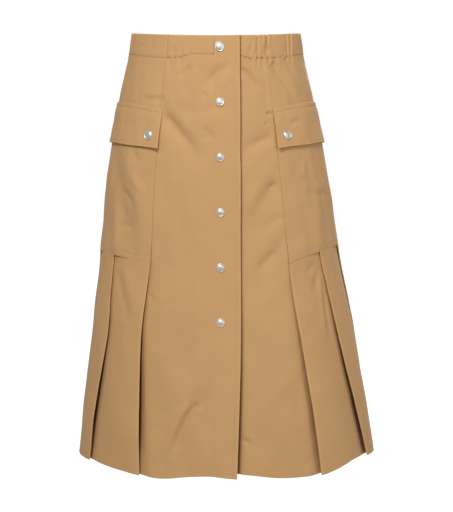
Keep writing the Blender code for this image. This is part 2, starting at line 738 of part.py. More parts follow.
def build():
    clear_scene()
    front("right_front_overlap", RIGHT)
    front("left_front_underlap", LEFT)
    for label, side in (("right", RIGHT), ("left", LEFT)):
        side_upper(f"{label}_side_upper", side)
        pocket(f"{label}_pocket", side)
        flap(f"{label}_pocket_flap", side)
        side_lower(f"{label}_side_pleated", side)
        flap_snap(f"{label}_flap_snap_front", side, rear=False)
        flap_snap(f"{label}_flap_snap_rear", side, rear=True)
    back("back_panel")

    strip = min(front_angle(RIGHT, z, 1.0) for z in (BAND_TOP_FRONT, BAND_BOTTOM_FLAT))
    strip -= degrees_for(SEAM, strip, 0.0)
    underlap = angle_at_x(along(PLACKET, 0.0, "x") - UNDERLAP_WIDTH, 0.0)
    right_seam, left_seam = edge_angle(PRINCESS, RIGHT, 0.0), edge_angle(PRINCESS, LEFT, 0.0)
    half_gap = degrees_for(SEAM / 2, left_seam, 0.0)
    band("waistband_right_front", right_seam + half_gap, strip, band_level)
    band("waistband_left_front", underlap, left_seam - half_gap, underlap_band_level)
    band("waistband_back", left_seam + half_gap, 360.0 + right_seam - half_gap, band_level)

    front_snap("band_snap", SNAP_FIRST_Z, BIG_SNAP)
    for row in range(SNAP_ROWS):
        front_snap(f"front_snap_{row + 1}", SNAP_FIRST_Z - SNAP_PITCH * (row + 1), FRONT_SNAP)


build()
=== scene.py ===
import math
from collections import namedtuple

import bmesh
import bpy
import numpy as np
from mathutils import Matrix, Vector


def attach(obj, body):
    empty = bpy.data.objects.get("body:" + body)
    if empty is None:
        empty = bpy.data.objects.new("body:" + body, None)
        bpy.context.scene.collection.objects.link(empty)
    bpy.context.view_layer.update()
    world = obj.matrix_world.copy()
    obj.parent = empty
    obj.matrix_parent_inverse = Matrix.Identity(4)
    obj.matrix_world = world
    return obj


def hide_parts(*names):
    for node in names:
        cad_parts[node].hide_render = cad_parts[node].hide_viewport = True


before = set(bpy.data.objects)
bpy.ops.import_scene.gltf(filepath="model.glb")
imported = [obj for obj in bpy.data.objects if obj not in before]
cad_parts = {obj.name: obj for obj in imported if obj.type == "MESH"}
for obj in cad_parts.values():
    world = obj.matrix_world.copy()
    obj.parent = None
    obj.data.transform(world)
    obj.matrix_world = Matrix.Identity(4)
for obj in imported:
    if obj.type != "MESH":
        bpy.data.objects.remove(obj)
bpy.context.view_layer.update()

# The looks of a pleated midi skirt in tan cotton twill, filled out as it is worn.
# Metres, +Z up, the front faces -Y, so the wearer's right side is at -X. The cloth lies on the
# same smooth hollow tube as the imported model: a place on it is an angle round the tube (0 at the
# front, 90 at the wearer's left side, 180 at the back), a height, and how far out it lies.

# The studio -----------------------------------------------------------------------------
# A lens from the height of the waist, as far back as a studio shot is taken; soft light from
# in front and from behind, and a pale floor where the wearer would stand.
CAMERA_PLACE = (0.0168, -2.90, 0.0)
CAMERA_AIM = (0.0168, 0.0, -0.335)
CAMERA_LENS = 126.6
FLOOR_HEIGHT = -1.02
FLOOR_SIZE = 12.0
FLOOR_ROUGHNESS = 0.9
PALE = (0.45, 0.45, 0.45)
FLOOR_GLOW = 0.97        # the share of it that is a plain white light table to the eye
GLOW_STRENGTH = 1.15
SKY_STRENGTH = 0.38      # of the air's light on things; to the eye it is plain white
WHITE = (1.0, 1.0, 1.0, 1.0)

Lamp = namedtuple("Lamp", "name place target size power")
LAMPS = [
    Lamp("key_light", (-0.50, -1.90, 1.50), (0.0, 0.0, -0.28), 0.7, 36.5),
    Lamp("fill_light", (1.70, -1.80, 0.40), (0.0, 0.0, -0.30), 1.2, 10.5),
    Lamp("back_light", (0.90, 2.00, 1.30), (0.0, 0.0, -0.20), 0.9, 36.0),
]


def aim(thing, place, target):
    thing.location = place
    thing.rotation_euler = (Vector(target) - Vector(place)).to_track_quat("-Z", "Y").to_euler()
    bpy.context.scene.collection.objects.link(thing)


def add_node(tree, kind, settings=(), **values):
    """A shader node, its settings and its fixed inputs, with _ for a space in an input's name."""
    node = tree.nodes.new("ShaderNode" + kind)
    for label, value in dict(settings).items():
        setattr(node, label, value)
    for label, value in values.items():
        node.inputs[label.replace("_", " ")].default_value = value
    return node


def times(tree, operation, factor):
    """Arithmetic of the given kind, with its second number fixed."""
    node = add_node(tree, "Math", {"operation": operation})
    node.inputs[1].default_value = factor
    return node


def wire(tree, *wires):
    """Wires, each from a node's output to another's input."""
    for source, output, target, entry in wires:
        tree.links.new(source.outputs[output], target.inputs[entry])


def new_finish(name, **values):
    """A material with its shader's fixed inputs, its node tree and its shader."""
    finish = bpy.data.materials.new(name)
    finish.use_nodes = True
    shader = finish.node_tree.nodes["Principled BSDF"]
    for label, value in values.items():
        shader.inputs[label.replace("_", " ")].default_value = value
    return finish, finish.node_tree, shader


lens = bpy.data.cameras.new("camera")
lens.lens = CAMERA_LENS
camera = bpy.data.objects.new("camera", lens)
aim(camera, CAMERA_PLACE, CAMERA_AIM)
bpy.context.scene.camera = camera
bpy.context.scene.view_settings.view_transform = "Standard"

for lamp in LAMPS:
    soft_box = bpy.data.lights.new(lamp.name, "AREA")
    soft_box.size, soft_box.energy = lamp.size, lamp.power
    aim(bpy.data.objects.new(lamp.name, soft_box), lamp.place, lamp.target)

world = bpy.data.worlds.new("studio")
world.use_nodes = True
bpy.context.scene.world = world
air = world.node_tree
air.nodes.clear()
seen = add_node(air, "Background", Strength=1.0, Color=WHITE)
lit = add_node(air, "Background", Strength=SKY_STRENGTH, Color=WHITE)
ray, choice, sky = (add_node(air, kind) for kind in ("LightPath", "MixShader", "OutputWorld"))
wire(
    air, (ray, "Is Camera Ray", choice, 0), (lit, 0, choice, 1), (seen, 0, choice, 2),
    (choice, 0, sky, "Surface"),
)

bpy.ops.object.select_all(action="DESELECT")
bpy.ops.mesh.primitive_plane_add(size=FLOOR_SIZE, location=(0.0, 0.0, FLOOR_HEIGHT))
floor = bpy.context.active_object
floor.name = "studio_floor"
floor_paint, paint, matt = new_finish(
    "pale_floor", Base_Color=(*PALE, 1.0), Roughness=FLOOR_ROUGHNESS,
)
glow = add_node(paint, "Emission", Strength=GLOW_STRENGTH)
eye, both = add_node(paint, "LightPath"), add_node(paint, "MixShader")
share = times(paint, "MULTIPLY", FLOOR_GLOW)
wire(
    paint, (eye, "Is Camera Ray", share, 0), (share, 0, both, 0), (matt, 0, both, 1),
    (glow, 0, both, 2), (both, 0, paint.nodes["Material Output"], "Surface"),
)
floor.data.materials.append(floor_paint)

# The left front, the underlap -------------------------------------------------------------
# One long panel of the twill from waist to hem. Its free edge is hidden under the right front,
# which snaps onto it, and beside the first pleat it goes on out of sight under the fold.
CLOTH = 0.0006           # one layer of twill
SEAM = 0.0003            # gap left between two pieces at a seam
LAYER = 0.0014           # from the middle of one layer to the middle of the next one on it
FOLD_RADIUS = 0.00036    # of a pressed fold
TURN_UP = 0.022          # depth of the hem
CELL = 0.0026            # size of the squares the cloth is laid in
THIN_RIM = 0.00022       # how far the rim of one layer is rolled, where it turns more sharply
RIM_ANGLE = 62.0         # than this

# Heights of the band, the hem and the pocket's bottom
BAND_TOP_FRONT = 0.0195
BAND_TOP_RISE = 0.0035
BAND_BOTTOM_FLAT = -0.0095
BAND_BOTTOM_GATHERED = -0.0140
BAND_BOTTOM_SIDE = -0.0090
FLAT_RIGHT = (-13.0, -26.0)
FLAT_LEFT = (12.0, 24.0)
NARROWER = (34.0, 80.0)
HEM_LEVEL = -0.6655
HEM_FOLLOWS = 0.100      # the rows above the hem come level over this height
BAND_FOLLOWS = 0.035
POCKET_BOTTOM = -0.3345
POCKET_BOTTOM_RISE = 0.0110
LEFT_POCKET_BOTTOM_RISE = 0.0200

# The closing: distances run from the overlap's free edge
STRIP_WIDTH = 0.0395
UNDERLAP_WIDTH = 0.0550
UNDERLAP_SHOWS = 0.0040
OVERLAP_OUT = 0.0009
UNDERLAP_IN = 0.0007
OVERLAP_RISE = (0.082, 0.060)
UNDERLAP_SINK = (0.022, 0.002)
PLACKET_OPEN_FROM = -0.330
PLACKET_OPEN_HEM = 0.0035
PLACKET_OPEN_WIDTH = 0.050
UNDERLAP_FALLS_BACK = 0.4
OVERLAP_HEM_DROP = 0.0027
UNDERLAP_HEM_RISE = 0.0035
TRENCH = 0.0042          # the underlap sinks this much more right beside the overlap's edge
TRENCH_WIDTH = 0.0034
EDGE_RISE = 0.0010       # and that edge stands up a little
EDGE_RISE_WIDTH = 0.0050

# The seams beside the fronts and behind the sides, and the pleats' underlays
PRINCESS_ANGLE = 34.5
SIDE_SEAM_ANGLE = 112.0
SIDE_SEAM_SPREAD = 10.0
UNDERLAY_TOP = 0.026
UNDERLAY_HEM = 0.042
FRONT_FLARE = 0.0030
FRONT_FLARE_WIDTH = 0.020
SEAM_SINK = 0.0004       # cloth dips this much at a sewn seam
SEAM_SINK_WIDTH = 0.0020
POCKET_SIDE_RISE = 0.0009    # a front lies this much higher along the pocket's front edge
POCKET_SIDE_WIDTH = 0.0080
STITCH_SINK = 0.00022
STITCH_SINK_WIDTH = 0.0010
PUCKER = 0.00016         # height of the small ripples along a seam
PUCKER_REACH = 0.0050
PUCKER_PITCH = 0.0105

RIGHT, LEFT = -1, 1      # the wearer's sides, as the sign of X

Section = namedtuple("Section", "z half_width front_depth back_depth centre_x")
SECTIONS = [
    Section(0.016, 0.1350, 0.0920, 0.0980, 0.0000),
    Section(-0.016, 0.1400, 0.0960, 0.1030, 0.0000),
    Section(-0.075, 0.1540, 0.1080, 0.1200, 0.0004),
    Section(-0.150, 0.1660, 0.1180, 0.1380, 0.0015),
    Section(-0.240, 0.1795, 0.1260, 0.1500, 0.0035),
    Section(-0.340, 0.1920, 0.1340, 0.1550, 0.0065),
    Section(-0.450, 0.2095, 0.1460, 0.1630, 0.0110),
    Section(-0.560, 0.2245, 0.1570, 0.1720, 0.0140),
    Section(-0.665, 0.2370, 0.1670, 0.1820, 0.0160),
]

Hem = namedtuple("Hem", "angle z")
HEM = [
    Hem(-180.0, -0.6650), Hem(-112.0, -0.6560), Hem(-66.0, -0.6545), Hem(-45.0, -0.6600),
    Hem(-25.0, -0.6665), Hem(-9.0, -0.6600), Hem(4.0, -0.6605), Hem(25.0, -0.6665),
    Hem(39.0, -0.6640), Hem(61.0, -0.6500), Hem(112.0, -0.6560), Hem(180.0, -0.6650),
]

PlacketEdge = namedtuple("PlacketEdge", "z x")
PLACKET = [
    PlacketEdge(0.020, 0.0364), PlacketEdge(-0.090, 0.0374), PlacketEdge(-0.320, 0.0382),
    PlacketEdge(-0.455, 0.0383), PlacketEdge(-0.560, 0.0358), PlacketEdge(-0.665, 0.0325),
]

Edge = namedtuple("Edge", "z right left")
PRINCESS = [Edge(0.020, 33.0, 36.2), Edge(-0.090, 34.0, 34.6), Edge(-0.334, 34.0, 34.2)]
FRONT_PLEAT = [
    Edge(-0.334, 34.2, 34.0), Edge(-0.390, 36.0, 34.2), Edge(-0.450, 37.0, 35.0),
    Edge(-0.510, 36.5, 35.9), Edge(-0.570, 35.6, 36.9), Edge(-0.665, 34.5, 38.0),
]

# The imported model's largest soft folds, which the finer creases are added to
FOLD_END = 1.5
FOLD_FADE_DEGREES = 4.0
FOLD_FADE_BELOW_BAND = 0.030
Fold = namedtuple("Fold", "angle z end_angle end_z spread height")
FOLDS = [
    Fold(-2.0, -0.035, -12.0, -0.085, 0.014, -0.0022),
    Fold(-31.0, -0.100, -11.0, -0.165, 0.013, -0.0024),
    Fold(-24.0, -0.090, -4.0, -0.105, 0.016, 0.0020),
    Fold(18.0, -0.035, 34.0, -0.085, 0.013, -0.0022),
    Fold(37.0, -0.025, 50.0, -0.080, 0.013, -0.0020),
    Fold(33.0, -0.130, 16.0, -0.160, 0.015, -0.0020),
    Fold(33.0, -0.205, 20.0, -0.270, 0.018, -0.0030),
    Fold(30.0, -0.190, 18.0, -0.235, 0.018, 0.0020),
    Fold(30.0, -0.315, 19.0, -0.360, 0.018, -0.0024),
    Fold(-9.0, -0.550, -19.0, -0.650, 0.020, -0.0034),
    Fold(-16.0, -0.530, -26.0, -0.665, 0.020, 0.0026),
    Fold(-54.0, -0.175, -42.0, -0.245, 0.018, 0.0022),
    Fold(-66.0, -0.190, -54.0, -0.260, 0.018, -0.0022),
    Fold(46.0, -0.200, 60.0, -0.235, 0.018, -0.0022),
    Fold(24.0, -0.560, 27.0, -0.665, 0.024, -0.0030),
    Fold(128.0, -0.060, 140.0, -0.150, 0.020, -0.0024),
    Fold(232.0, -0.060, 218.0, -0.150, 0.020, -0.0024),
    Fold(176.0, -0.330, 180.0, -0.665, 0.030, 0.0060),
    Fold(154.0, -0.360, 150.0, -0.665, 0.028, -0.0055),
    Fold(206.0, -0.340, 211.0, -0.665, 0.028, -0.0060),
    Fold(134.0, -0.400, 131.0, -0.665, 0.026, 0.0045),
    Fold(226.0, -0.420, 231.0, -0.665, 0.026, 0.0040),
]

# Creases: three places (angle, height) on a curved line, half width, height
# (below zero for a trough), and the shares of its length in which it rises and dies away
Crease = namedtuple("Crease", "start middle end width height head tail", defaults=(0.30, 0.45))
BAND_CREASES = [
    Crease((-56.5, 0.0066), (-56.1, 0.0024), (-55.7, -0.0019), 0.0024, -0.0011),
    Crease((-47.0, 0.021), (-46.5, 0.008), (-46.8, -0.004), 0.0030, -0.0006, 0.0, 0.5),
    Crease((-28.2, 0.0050), (-27.8, -0.0062), (-27.8, -0.0180), 0.0024, -0.0010),
    Crease((-23.2, 0.0040), (-22.9, -0.0080), (-22.4, -0.0185), 0.0024, -0.0010),
    Crease((-17.4, 0.0080), (-17.2, -0.0050), (-17.3, -0.0169), 0.0024, -0.0011),
    Crease((-14.1, 0.0060), (-13.9, -0.0040), (-13.8, -0.0150), 0.0020, -0.0009),
    Crease((18.3, 0.0120), (18.1, 0.0010), (17.8, -0.0110), 0.0020, -0.0008),
    Crease((23.9, 0.0080), (23.0, -0.0046), (21.7, -0.0165), 0.0020, -0.0017, 0.2, 0.2),
    Crease((25.6, -0.0062), (25.5, -0.0103), (25.3, -0.0139), 0.0018, -0.0013),
    Crease((29.0, 0.0210), (28.1, -0.0046), (27.2, -0.0310), 0.0022, -0.0028, 0.0, 0.3),
    Crease((32.4, 0.0210), (32.2, 0.0124), (32.0, 0.0050), 0.0020, -0.0018, 0.0, 0.4),
    Crease((31.7, -0.0060), (31.5, -0.0100), (31.3, -0.0142), 0.0018, -0.0014),
    Crease((36.3, 0.0210), (35.0, 0.0000), (33.6, -0.0165), 0.0022, -0.0028, 0.0, 0.2),
    Crease((36.6, 0.0020), (35.9, -0.0124), (35.7, -0.0250), 0.0022, -0.0026, 0.15, 0.25),
    Crease((50.0, -0.0060), (49.6, -0.0104), (49.3, -0.0142), 0.0018, -0.0013),
    Crease((54.2, 0.0210), (54.3, -0.0031), (52.2, -0.0205), 0.0022, -0.0024, 0.0, 0.15),
    Crease((60.1, 0.0210), (57.4, -0.0086), (57.3, -0.0310), 0.0024, -0.0022, 0.0, 0.35),
]
FRONT_CREASES = [
    # short gathers under the band
    Crease((-31.0, -0.014), (-30.5, -0.024), (-29.7, -0.038), 0.0028, -0.0016, 0.0),
    Crease((-27.0, -0.014), (-27.6, -0.022), (-28.2, -0.032), 0.0025, -0.0015, 0.0),
    Crease((-22.8, -0.013), (-22.6, -0.023), (-23.2, -0.036), 0.0027, -0.0016, 0.0),
    Crease((-18.8, -0.012), (-19.6, -0.021), (-20.8, -0.031), 0.0023, -0.0011, 0.0),
    Crease((19.0, -0.013), (19.4, -0.022), (21.0, -0.034), 0.0027, -0.0018, 0.0),
    Crease((22.5, -0.014), (23.0, -0.026), (25.0, -0.044), 0.0028, -0.0024, 0.0),
    Crease((31.0, -0.014), (31.0, -0.024), (32.0, -0.038), 0.0028, -0.0021, 0.0),
    Crease((41.0, -0.014), (41.5, -0.022), (43.0, -0.032), 0.0027, -0.0015, 0.0),
    Crease((46.5, -0.014), (47.5, -0.024), (49.0, -0.038), 0.0027, -0.0016, 0.0),
    # pulls that run down and away from the band
    Crease((-15.0, -0.024), (-18.7, -0.037), (-24.0, -0.051), 0.0043, -0.0024),
    Crease((-12.0, -0.026), (-11.2, -0.031), (-10.8, -0.038), 0.0025, -0.0013),
    Crease((11.4, -0.023), (-0.6, -0.043), (-3.0, -0.068), 0.0070, -0.0033),
    Crease((-7.6, -0.076), (-6.5, -0.071), (-5.3, -0.083), 0.0027, -0.0016),
    Crease((16.3, -0.030), (22.1, -0.049), (31.6, -0.073), 0.0051, -0.0030, 0.15),
    Crease((38.2, -0.020), (45.2, -0.047), (54.8, -0.081), 0.0062, -0.0033, 0.15),
    Crease((52.1, -0.016), (52.8, -0.027), (61.1, -0.047), 0.0047, -0.0024, 0.10),
    # pulls between the flaps' corners and the closing
    Crease((-50.4, -0.081), (-36.0, -0.079), (-29.5, -0.082), 0.0042, -0.0016),
    Crease((-31.6, -0.100), (-20.4, -0.131), (-10.1, -0.160), 0.0080, -0.0029, 0.15),
    Crease((-30.7, -0.085), (-9.2, -0.098), (10.8, -0.080), 0.0100, -0.0022),
    Crease((-7.5, -0.121), (-4.7, -0.132), (-1.0, -0.144), 0.0050, -0.0016),
    Crease((-8.0, -0.137), (-6.4, -0.138), (-4.7, -0.141), 0.0030, -0.0011),
    Crease((28.9, -0.1010), (30.9, -0.1015), (33.6, -0.1019), 0.0024, -0.0030, 0.30, 0.05),
    Crease((27.4, -0.1157), (29.0, -0.1172), (30.9, -0.1188), 0.0028, -0.0017),
    Crease((32.3, -0.134), (22.7, -0.146), (13.4, -0.157), 0.0070, -0.0022, 0.15),
    # on and beside the wearer's right pocket
    Crease((-51.1, -0.159), (-48.0, -0.168), (-43.6, -0.180), 0.0042, -0.0013),
    Crease((-64.6, -0.165), (-61.6, -0.170), (-57.8, -0.175), 0.0034, -0.0010),
    Crease((-51.1, -0.192), (-44.5, -0.214), (-35.9, -0.229), 0.0065, 0.0016),
    Crease((-59.7, -0.224), (-49.9, -0.235), (-46.6, -0.263), 0.0055, -0.0019),
    Crease((-56.9, -0.279), (-51.7, -0.278), (-46.3, -0.277), 0.0036, -0.0010),
    Crease((-51.4, -0.313), (-50.4, -0.319), (-48.8, -0.323), 0.0030, -0.0009),
    Crease((-62.8, -0.200), (-60.5, -0.270), (-58.4, -0.335), 0.0120, 0.0025, 0.20, 0.20),
    # on and beside the wearer's left pocket
    Crease((26.3, -0.214), (29.8, -0.213), (32.6, -0.204), 0.0040, -0.0014),
    Crease((32.5, -0.207), (22.4, -0.234), (15.3, -0.272), 0.0100, -0.0023, 0.15),
    Crease((32.3, -0.258), (26.2, -0.273), (21.1, -0.288), 0.0080, -0.0016, 0.15),
    Crease((28.8, -0.314), (26.6, -0.317), (24.4, -0.320), 0.0032, -0.0009),
    Crease((50.2, -0.110), (47.3, -0.115), (44.4, -0.121), 0.0032, -0.0008),
    Crease((52.9, -0.170), (51.9, -0.187), (50.9, -0.206), 0.0040, 0.0013),
    Crease((48.8, -0.201), (50.1, -0.206), (51.5, -0.211), 0.0034, -0.0013),
    Crease((53.6, -0.217), (59.4, -0.229), (80.0, -0.230), 0.0060, -0.0017),
    Crease((61.0, -0.205), (57.9, -0.270), (55.3, -0.330), 0.0120, 0.0025, 0.20, 0.20),
    # below the pockets
    Crease((28.2, -0.317), (22.6, -0.330), (16.0, -0.354), 0.0075, -0.0024, 0.15),
    Crease((-7.7, -0.383), (-7.1, -0.429), (-7.8, -0.476), 0.0060, -0.0013),
    Crease((5.6, -0.604), (8.3, -0.607), (10.2, -0.616), 0.0040, -0.0016),
    Crease((-34.1, -0.380), (-32.9, -0.388), (-31.1, -0.395), 0.0036, -0.0014),
    Crease((-57.7, -0.345), (-47.5, -0.405), (-46.5, -0.436), 0.0080, -0.0016, 0.10),
    Crease((52.4, -0.338), (47.4, -0.343), (41.9, -0.352), 0.0050, -0.0018),
    Crease((55.9, -0.340), (50.1, -0.365), (45.6, -0.396), 0.0070, -0.0022, 0.15),
    Crease((54.5, -0.336), (51.4, -0.395), (48.8, -0.465), 0.0060, 0.0016, 0.15, 0.30),
    Crease((55.0, -0.350), (53.6, -0.400), (52.6, -0.470), 0.0040, -0.0014, 0.15, 0.30),
    Crease((30.8, -0.500), (32.0, -0.580), (33.6, -0.660), 0.0100, -0.0020, 0.30, 0.10),
    Crease((-13.5, -0.546), (-19.3, -0.580), (-25.0, -0.640), 0.0060, 0.0024, 0.20, 0.30),
    Crease((-9.8, -0.545), (-16.0, -0.577), (-21.6, -0.640), 0.0055, -0.0042, 0.20, 0.30),
    Crease((44.1, -0.122), (49.3, -0.116), (55.0, -0.113), 0.0050, -0.0014),
    Crease((-20.0, -0.420), (-17.0, -0.470), (-16.0, -0.540), 0.0140, -0.0019),
    Crease((17.0, -0.440), (20.0, -0.500), (20.0, -0.560), 0.0140, -0.0019),
]


def gathers(first, last, count, shortest, longest, depth, seed):
    """Uneven gathers that start in the waistband and run down into the cloth."""
    pitch = (last - first) / count
    made = []
    for k in range(count):
        first_uneven, second_uneven = math.sin(seed + 2.4 * k), math.sin(2.0 * seed + 1.3 * k)
        angle = first + pitch * (k + 0.5 + 0.28 * first_uneven)
        lean = 1.1 * second_uneven
        length = shortest + (longest - shortest) * (0.5 + 0.5 * math.cos(seed + 3.1 * k)) ** 2
        width = 0.0030 + 0.0008 * second_uneven + 0.012 * length
        height = -depth * (1.0 + 0.35 * first_uneven)
        middle, end = (angle + lean, -0.010), (angle + 2 * lean, BAND_BOTTOM_GATHERED - length)
        made.append(Crease((angle, 0.024), middle, end, width, height, 0.0, 0.6))
    return made


Gathers = namedtuple("Gathers", "first last count shortest longest depth seed")
for stretch_of_band in (
    Gathers(76.0, 118.0, 9, 0.015, 0.050, 0.0015, 1.0),
    Gathers(118.0, 242.0, 27, 0.020, 0.090, 0.0020, 2.0),
    Gathers(242.0, 269.9, 6, 0.015, 0.050, 0.0015, 3.0),
    Gathers(-89.9, -68.0, 4, 0.015, 0.045, 0.0012, 4.0),
):
    BAND_CREASES += gathers(*stretch_of_band)

RIDGE_BESIDE = 0.32      # a crease throws up a lower ridge on one side
RIDGE_AWAY = 2.1         # of it, in half widths of the crease, and its own half width
RIDGE_WIDTH = 1.3
CREASE_POINTS = 11

# Waves so long and low that they only keep the cloth from looking machined
Wave = namedtuple("Wave", "degrees height_length phase height")
DRIFT = [
    Wave(31.0, 0.170, 0.4, 0.00040),
    Wave(17.0, 0.110, 2.1, 0.00025),
    Wave(9.5, 0.290, 4.0, 0.00018),
    Wave(23.0, -0.075, 1.2, 0.00016),
    Wave(12.0, -0.046, 5.1, 0.00008),
]


def blend(value, start, end):
    """0 before start, 1 after end, smooth between. Start may be above end."""
    t = np.clip((value - start) / (end - start), 0.0, 1.0)
    return t * t * (3.0 - 2.0 * t)


def through(places, values, place):
    """A smooth curve through values at places, straight past its ends."""
    places, values = np.asarray(places, float), np.asarray(values, float)
    if places[0] > places[-1]:
        places, values = places[::-1], values[::-1]
    last = len(places) - 1
    before = np.maximum(np.arange(last + 1) - 1, 0)
    after = np.minimum(np.arange(last + 1) + 1, last)
    slope = (values[after] - values[before]) / (places[after] - places[before])
    i = np.clip(np.searchsorted(places, place, side="right") - 1, 0, last - 1)
    span = places[i + 1] - places[i]
    t = np.clip((place - places[i]) / span, 0.0, 1.0)
    curve = (
        (2 * t**3 - 3 * t**2 + 1) * values[i]
        + (t**3 - 2 * t**2 + t) * slope[i] * span
        + (3 * t**2 - 2 * t**3) * values[i + 1]
        + (t**3 - t**2) * slope[i + 1] * span
    )
    below = np.minimum(place - places[0], 0.0) * slope[0]
    above = np.maximum(place - places[-1], 0.0) * slope[-1]
    return curve + below + above


def along(rows, place, column):
    """A table's column at places; the table's first column holds its places."""
    return through([row[0] for row in rows], [getattr(row, column) for row in rows], place)


def edge_angle(rows, side, z):
    return side * along(rows, z, "left" if side == LEFT else "right")


def section(angle, z):
    """Half width, depth and centre of the tube's oval at a height."""
    in_front = np.cos(np.radians(angle)) > 0
    depth = np.where(in_front, along(SECTIONS, z, "front_depth"), along(SECTIONS, z, "back_depth"))
    return along(SECTIONS, z, "half_width"), depth, along(SECTIONS, z, "centre_x")


def tube(angle, z, out=0.0):
    """Places on the tube, moved straight out of it by out."""
    half_width, depth, centre_x = section(angle, z)
    turn = np.radians(angle)
    across, deep = np.sin(turn) / half_width, -np.cos(turn) / depth
    size = np.hypot(across, deep)
    x = centre_x + half_width * np.sin(turn) + out * across / size
    y = -depth * np.cos(turn) + out * deep / size
    return np.stack([x, y, z + 0.0 * x], axis=-1)


def degrees_for(length, angle, z):
    """How many degrees a short length round the tube covers."""
    half_width, depth, _ = section(angle, z)
    turn = np.radians(angle)
    return np.degrees(length / np.hypot(half_width * np.cos(turn), depth * np.sin(turn)))


def angle_at_x(x, z):
    """The front angle where the tube has this X."""
    half_width, _, centre_x = section(0.0, z)
    return np.degrees(np.arcsin((x - centre_x) / half_width))


def once_round(angle):
    """The same angle between -90 and 270, so that the back is all in one range."""
    return (angle + 90.0) % 360.0 - 90.0


def soft_folds(angle, z):
    """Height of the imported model's large soft folds."""
    height = 0.0
    for fold in FOLDS:
        scale = section(fold.angle, fold.z)[0]
        run = np.array([math.radians(fold.end_angle - fold.angle) * scale, fold.end_z - fold.z])
        length = math.hypot(*run)
        round_it = np.radians(once_round(angle) - fold.angle) * scale
        down_it = z - fold.z
        share = (round_it * run[0] + down_it * run[1]) / length**2
        aside = (round_it * run[1] - down_it * run[0]) / length / fold.spread
        past = np.maximum(0.0, np.maximum(-share, share - 1.0)) * length / (FOLD_END * fold.spread)
        same_panel = (abs(fold.angle) < PRINCESS_ANGLE) == (np.abs(angle) < PRINCESS_ANGLE)
        height = height + same_panel * fold.height * np.exp(-(aside**2) - past**2)
    from_seam = blend(np.abs(np.abs(angle) - PRINCESS_ANGLE), 0.0, FOLD_FADE_DEGREES)
    faded_at = BAND_BOTTOM_GATHERED - FOLD_FADE_BELOW_BAND
    return height * from_seam * blend(z, BAND_BOTTOM_GATHERED, faded_at)


def hump(distance, width):
    """1 at no distance, dying away smoothly over the width."""
    return np.exp(-((distance / width) ** 2))


def creased(angle, z, creases):
    """Height of hand-placed creases at places of the tube."""
    angle, z = np.broadcast_arrays(once_round(angle), z)
    height = np.zeros(angle.shape)
    share = np.linspace(0.0, 1.0, CREASE_POINTS)[:, None]
    for crease in creases:
        half_width, depth, _ = section(crease.middle[0], crease.middle[1])
        turn = math.radians(crease.middle[0])
        scale = math.radians(1.0) * math.hypot(half_width * math.cos(turn), depth * math.sin(turn))
        start, middle, end = (np.array([p[0] * scale, p[1]]) for p in crease[:3])
        bend = 2.0 * middle - (start + end) / 2.0
        line = (1 - share) ** 2 * start + 2 * share * (1 - share) * bend + share**2 * end
        reach = 4.0 * crease.width
        low, high = line.min(axis=0) - reach, line.max(axis=0) + reach
        near = (angle * scale > low[0]) & (angle * scale < high[0]) & (z > low[1]) & (z < high[1])
        if not near.any():
            continue
        place = np.stack([angle[near] * scale, z[near]], axis=-1)
        best, aside, how_far = np.full(len(place), 9.0), np.zeros(len(place)), np.zeros(len(place))
        for k, (a, b) in enumerate(zip(line, line[1:])):
            run = b - a
            t = np.clip((place - a) @ run / (run @ run), 0.0, 1.0)
            gap = place - a - t[:, None] * run
            distance = np.hypot(*gap.T)
            closer = distance < best
            side = np.sign(run[0] * gap[:, 1] - run[1] * gap[:, 0])
            best = np.where(closer, distance, best)
            aside = np.where(closer, distance * side, aside)
            how_far = np.where(closer, (k + t) / (CREASE_POINTS - 1), how_far)
        q = aside / crease.width
        across = hump(q, 1.0) - RIDGE_BESIDE * hump(q - RIDGE_AWAY, RIDGE_WIDTH)
        rising = blend(how_far, -0.001, max(crease.head, 0.001))
        dying = blend(1.0 - how_far, 0.0, max(crease.tail, 0.001))
        height[near] += crease.height * across * (rising * dying)
    return height


def drift(angle, z):
    height = 0.0
    for wave in DRIFT:
        phase = wave.phase + 2.0 * math.pi * z / wave.height_length
        turns = 2.0 * math.pi * once_round(angle) / wave.degrees
        height = height + wave.height * np.sin(phase + turns)
    return height * blend(z, BAND_BOTTOM_GATHERED, BAND_BOTTOM_GATHERED - BAND_FOLLOWS)


def pucker(distance, position):
    """Small uneven ripples of the cloth beside a row of stitches."""
    ripple = np.sin(2 * math.pi * position / PUCKER_PITCH + 1.7 * np.sin(position / 0.031))
    ripple = ripple + 0.6 * np.sin(2 * math.pi * position / (PUCKER_PITCH * 0.57) + 2.0)
    strength = 0.55 + 0.45 * np.sin(position / 0.047 + 1.0)
    return PUCKER * ripple * strength * hump(distance, PUCKER_REACH)


def dip(distance, depth=STITCH_SINK, width=STITCH_SINK_WIDTH):
    return -depth * hump(distance, width)


def band_top(angle):
    return BAND_TOP_FRONT + BAND_TOP_RISE * np.sin(np.radians(angle)) ** 2


def band_bottom(angle):
    gathered = np.maximum(blend(angle, *FLAT_RIGHT), blend(angle, *FLAT_LEFT))
    from_front = np.degrees(np.arccos(np.cos(np.radians(angle))))
    narrower = (BAND_BOTTOM_SIDE - BAND_BOTTOM_GATHERED) * blend(from_front, *NARROWER)
    return BAND_BOTTOM_FLAT + (BAND_BOTTOM_GATHERED - BAND_BOTTOM_FLAT) * gathered + narrower


def hem(angle):
    return along(HEM, (angle + 180.0) % 360.0 - 180.0, "z")


def at_hem(angle, z):
    """How close a place is to the pressed fold of the hem."""
    return hump(z - hem(angle), 0.0012)


def hem_seam(above_hem):
    """The faint line on the outside where the hem's turn-up is caught down."""
    return dip(above_hem - TURN_UP, 0.00006, 0.0012)


def upright(rows, name):
    """A table's column, standing as the rows of a grid do."""
    return np.array([getattr(row, name) for row in rows])[:, None]


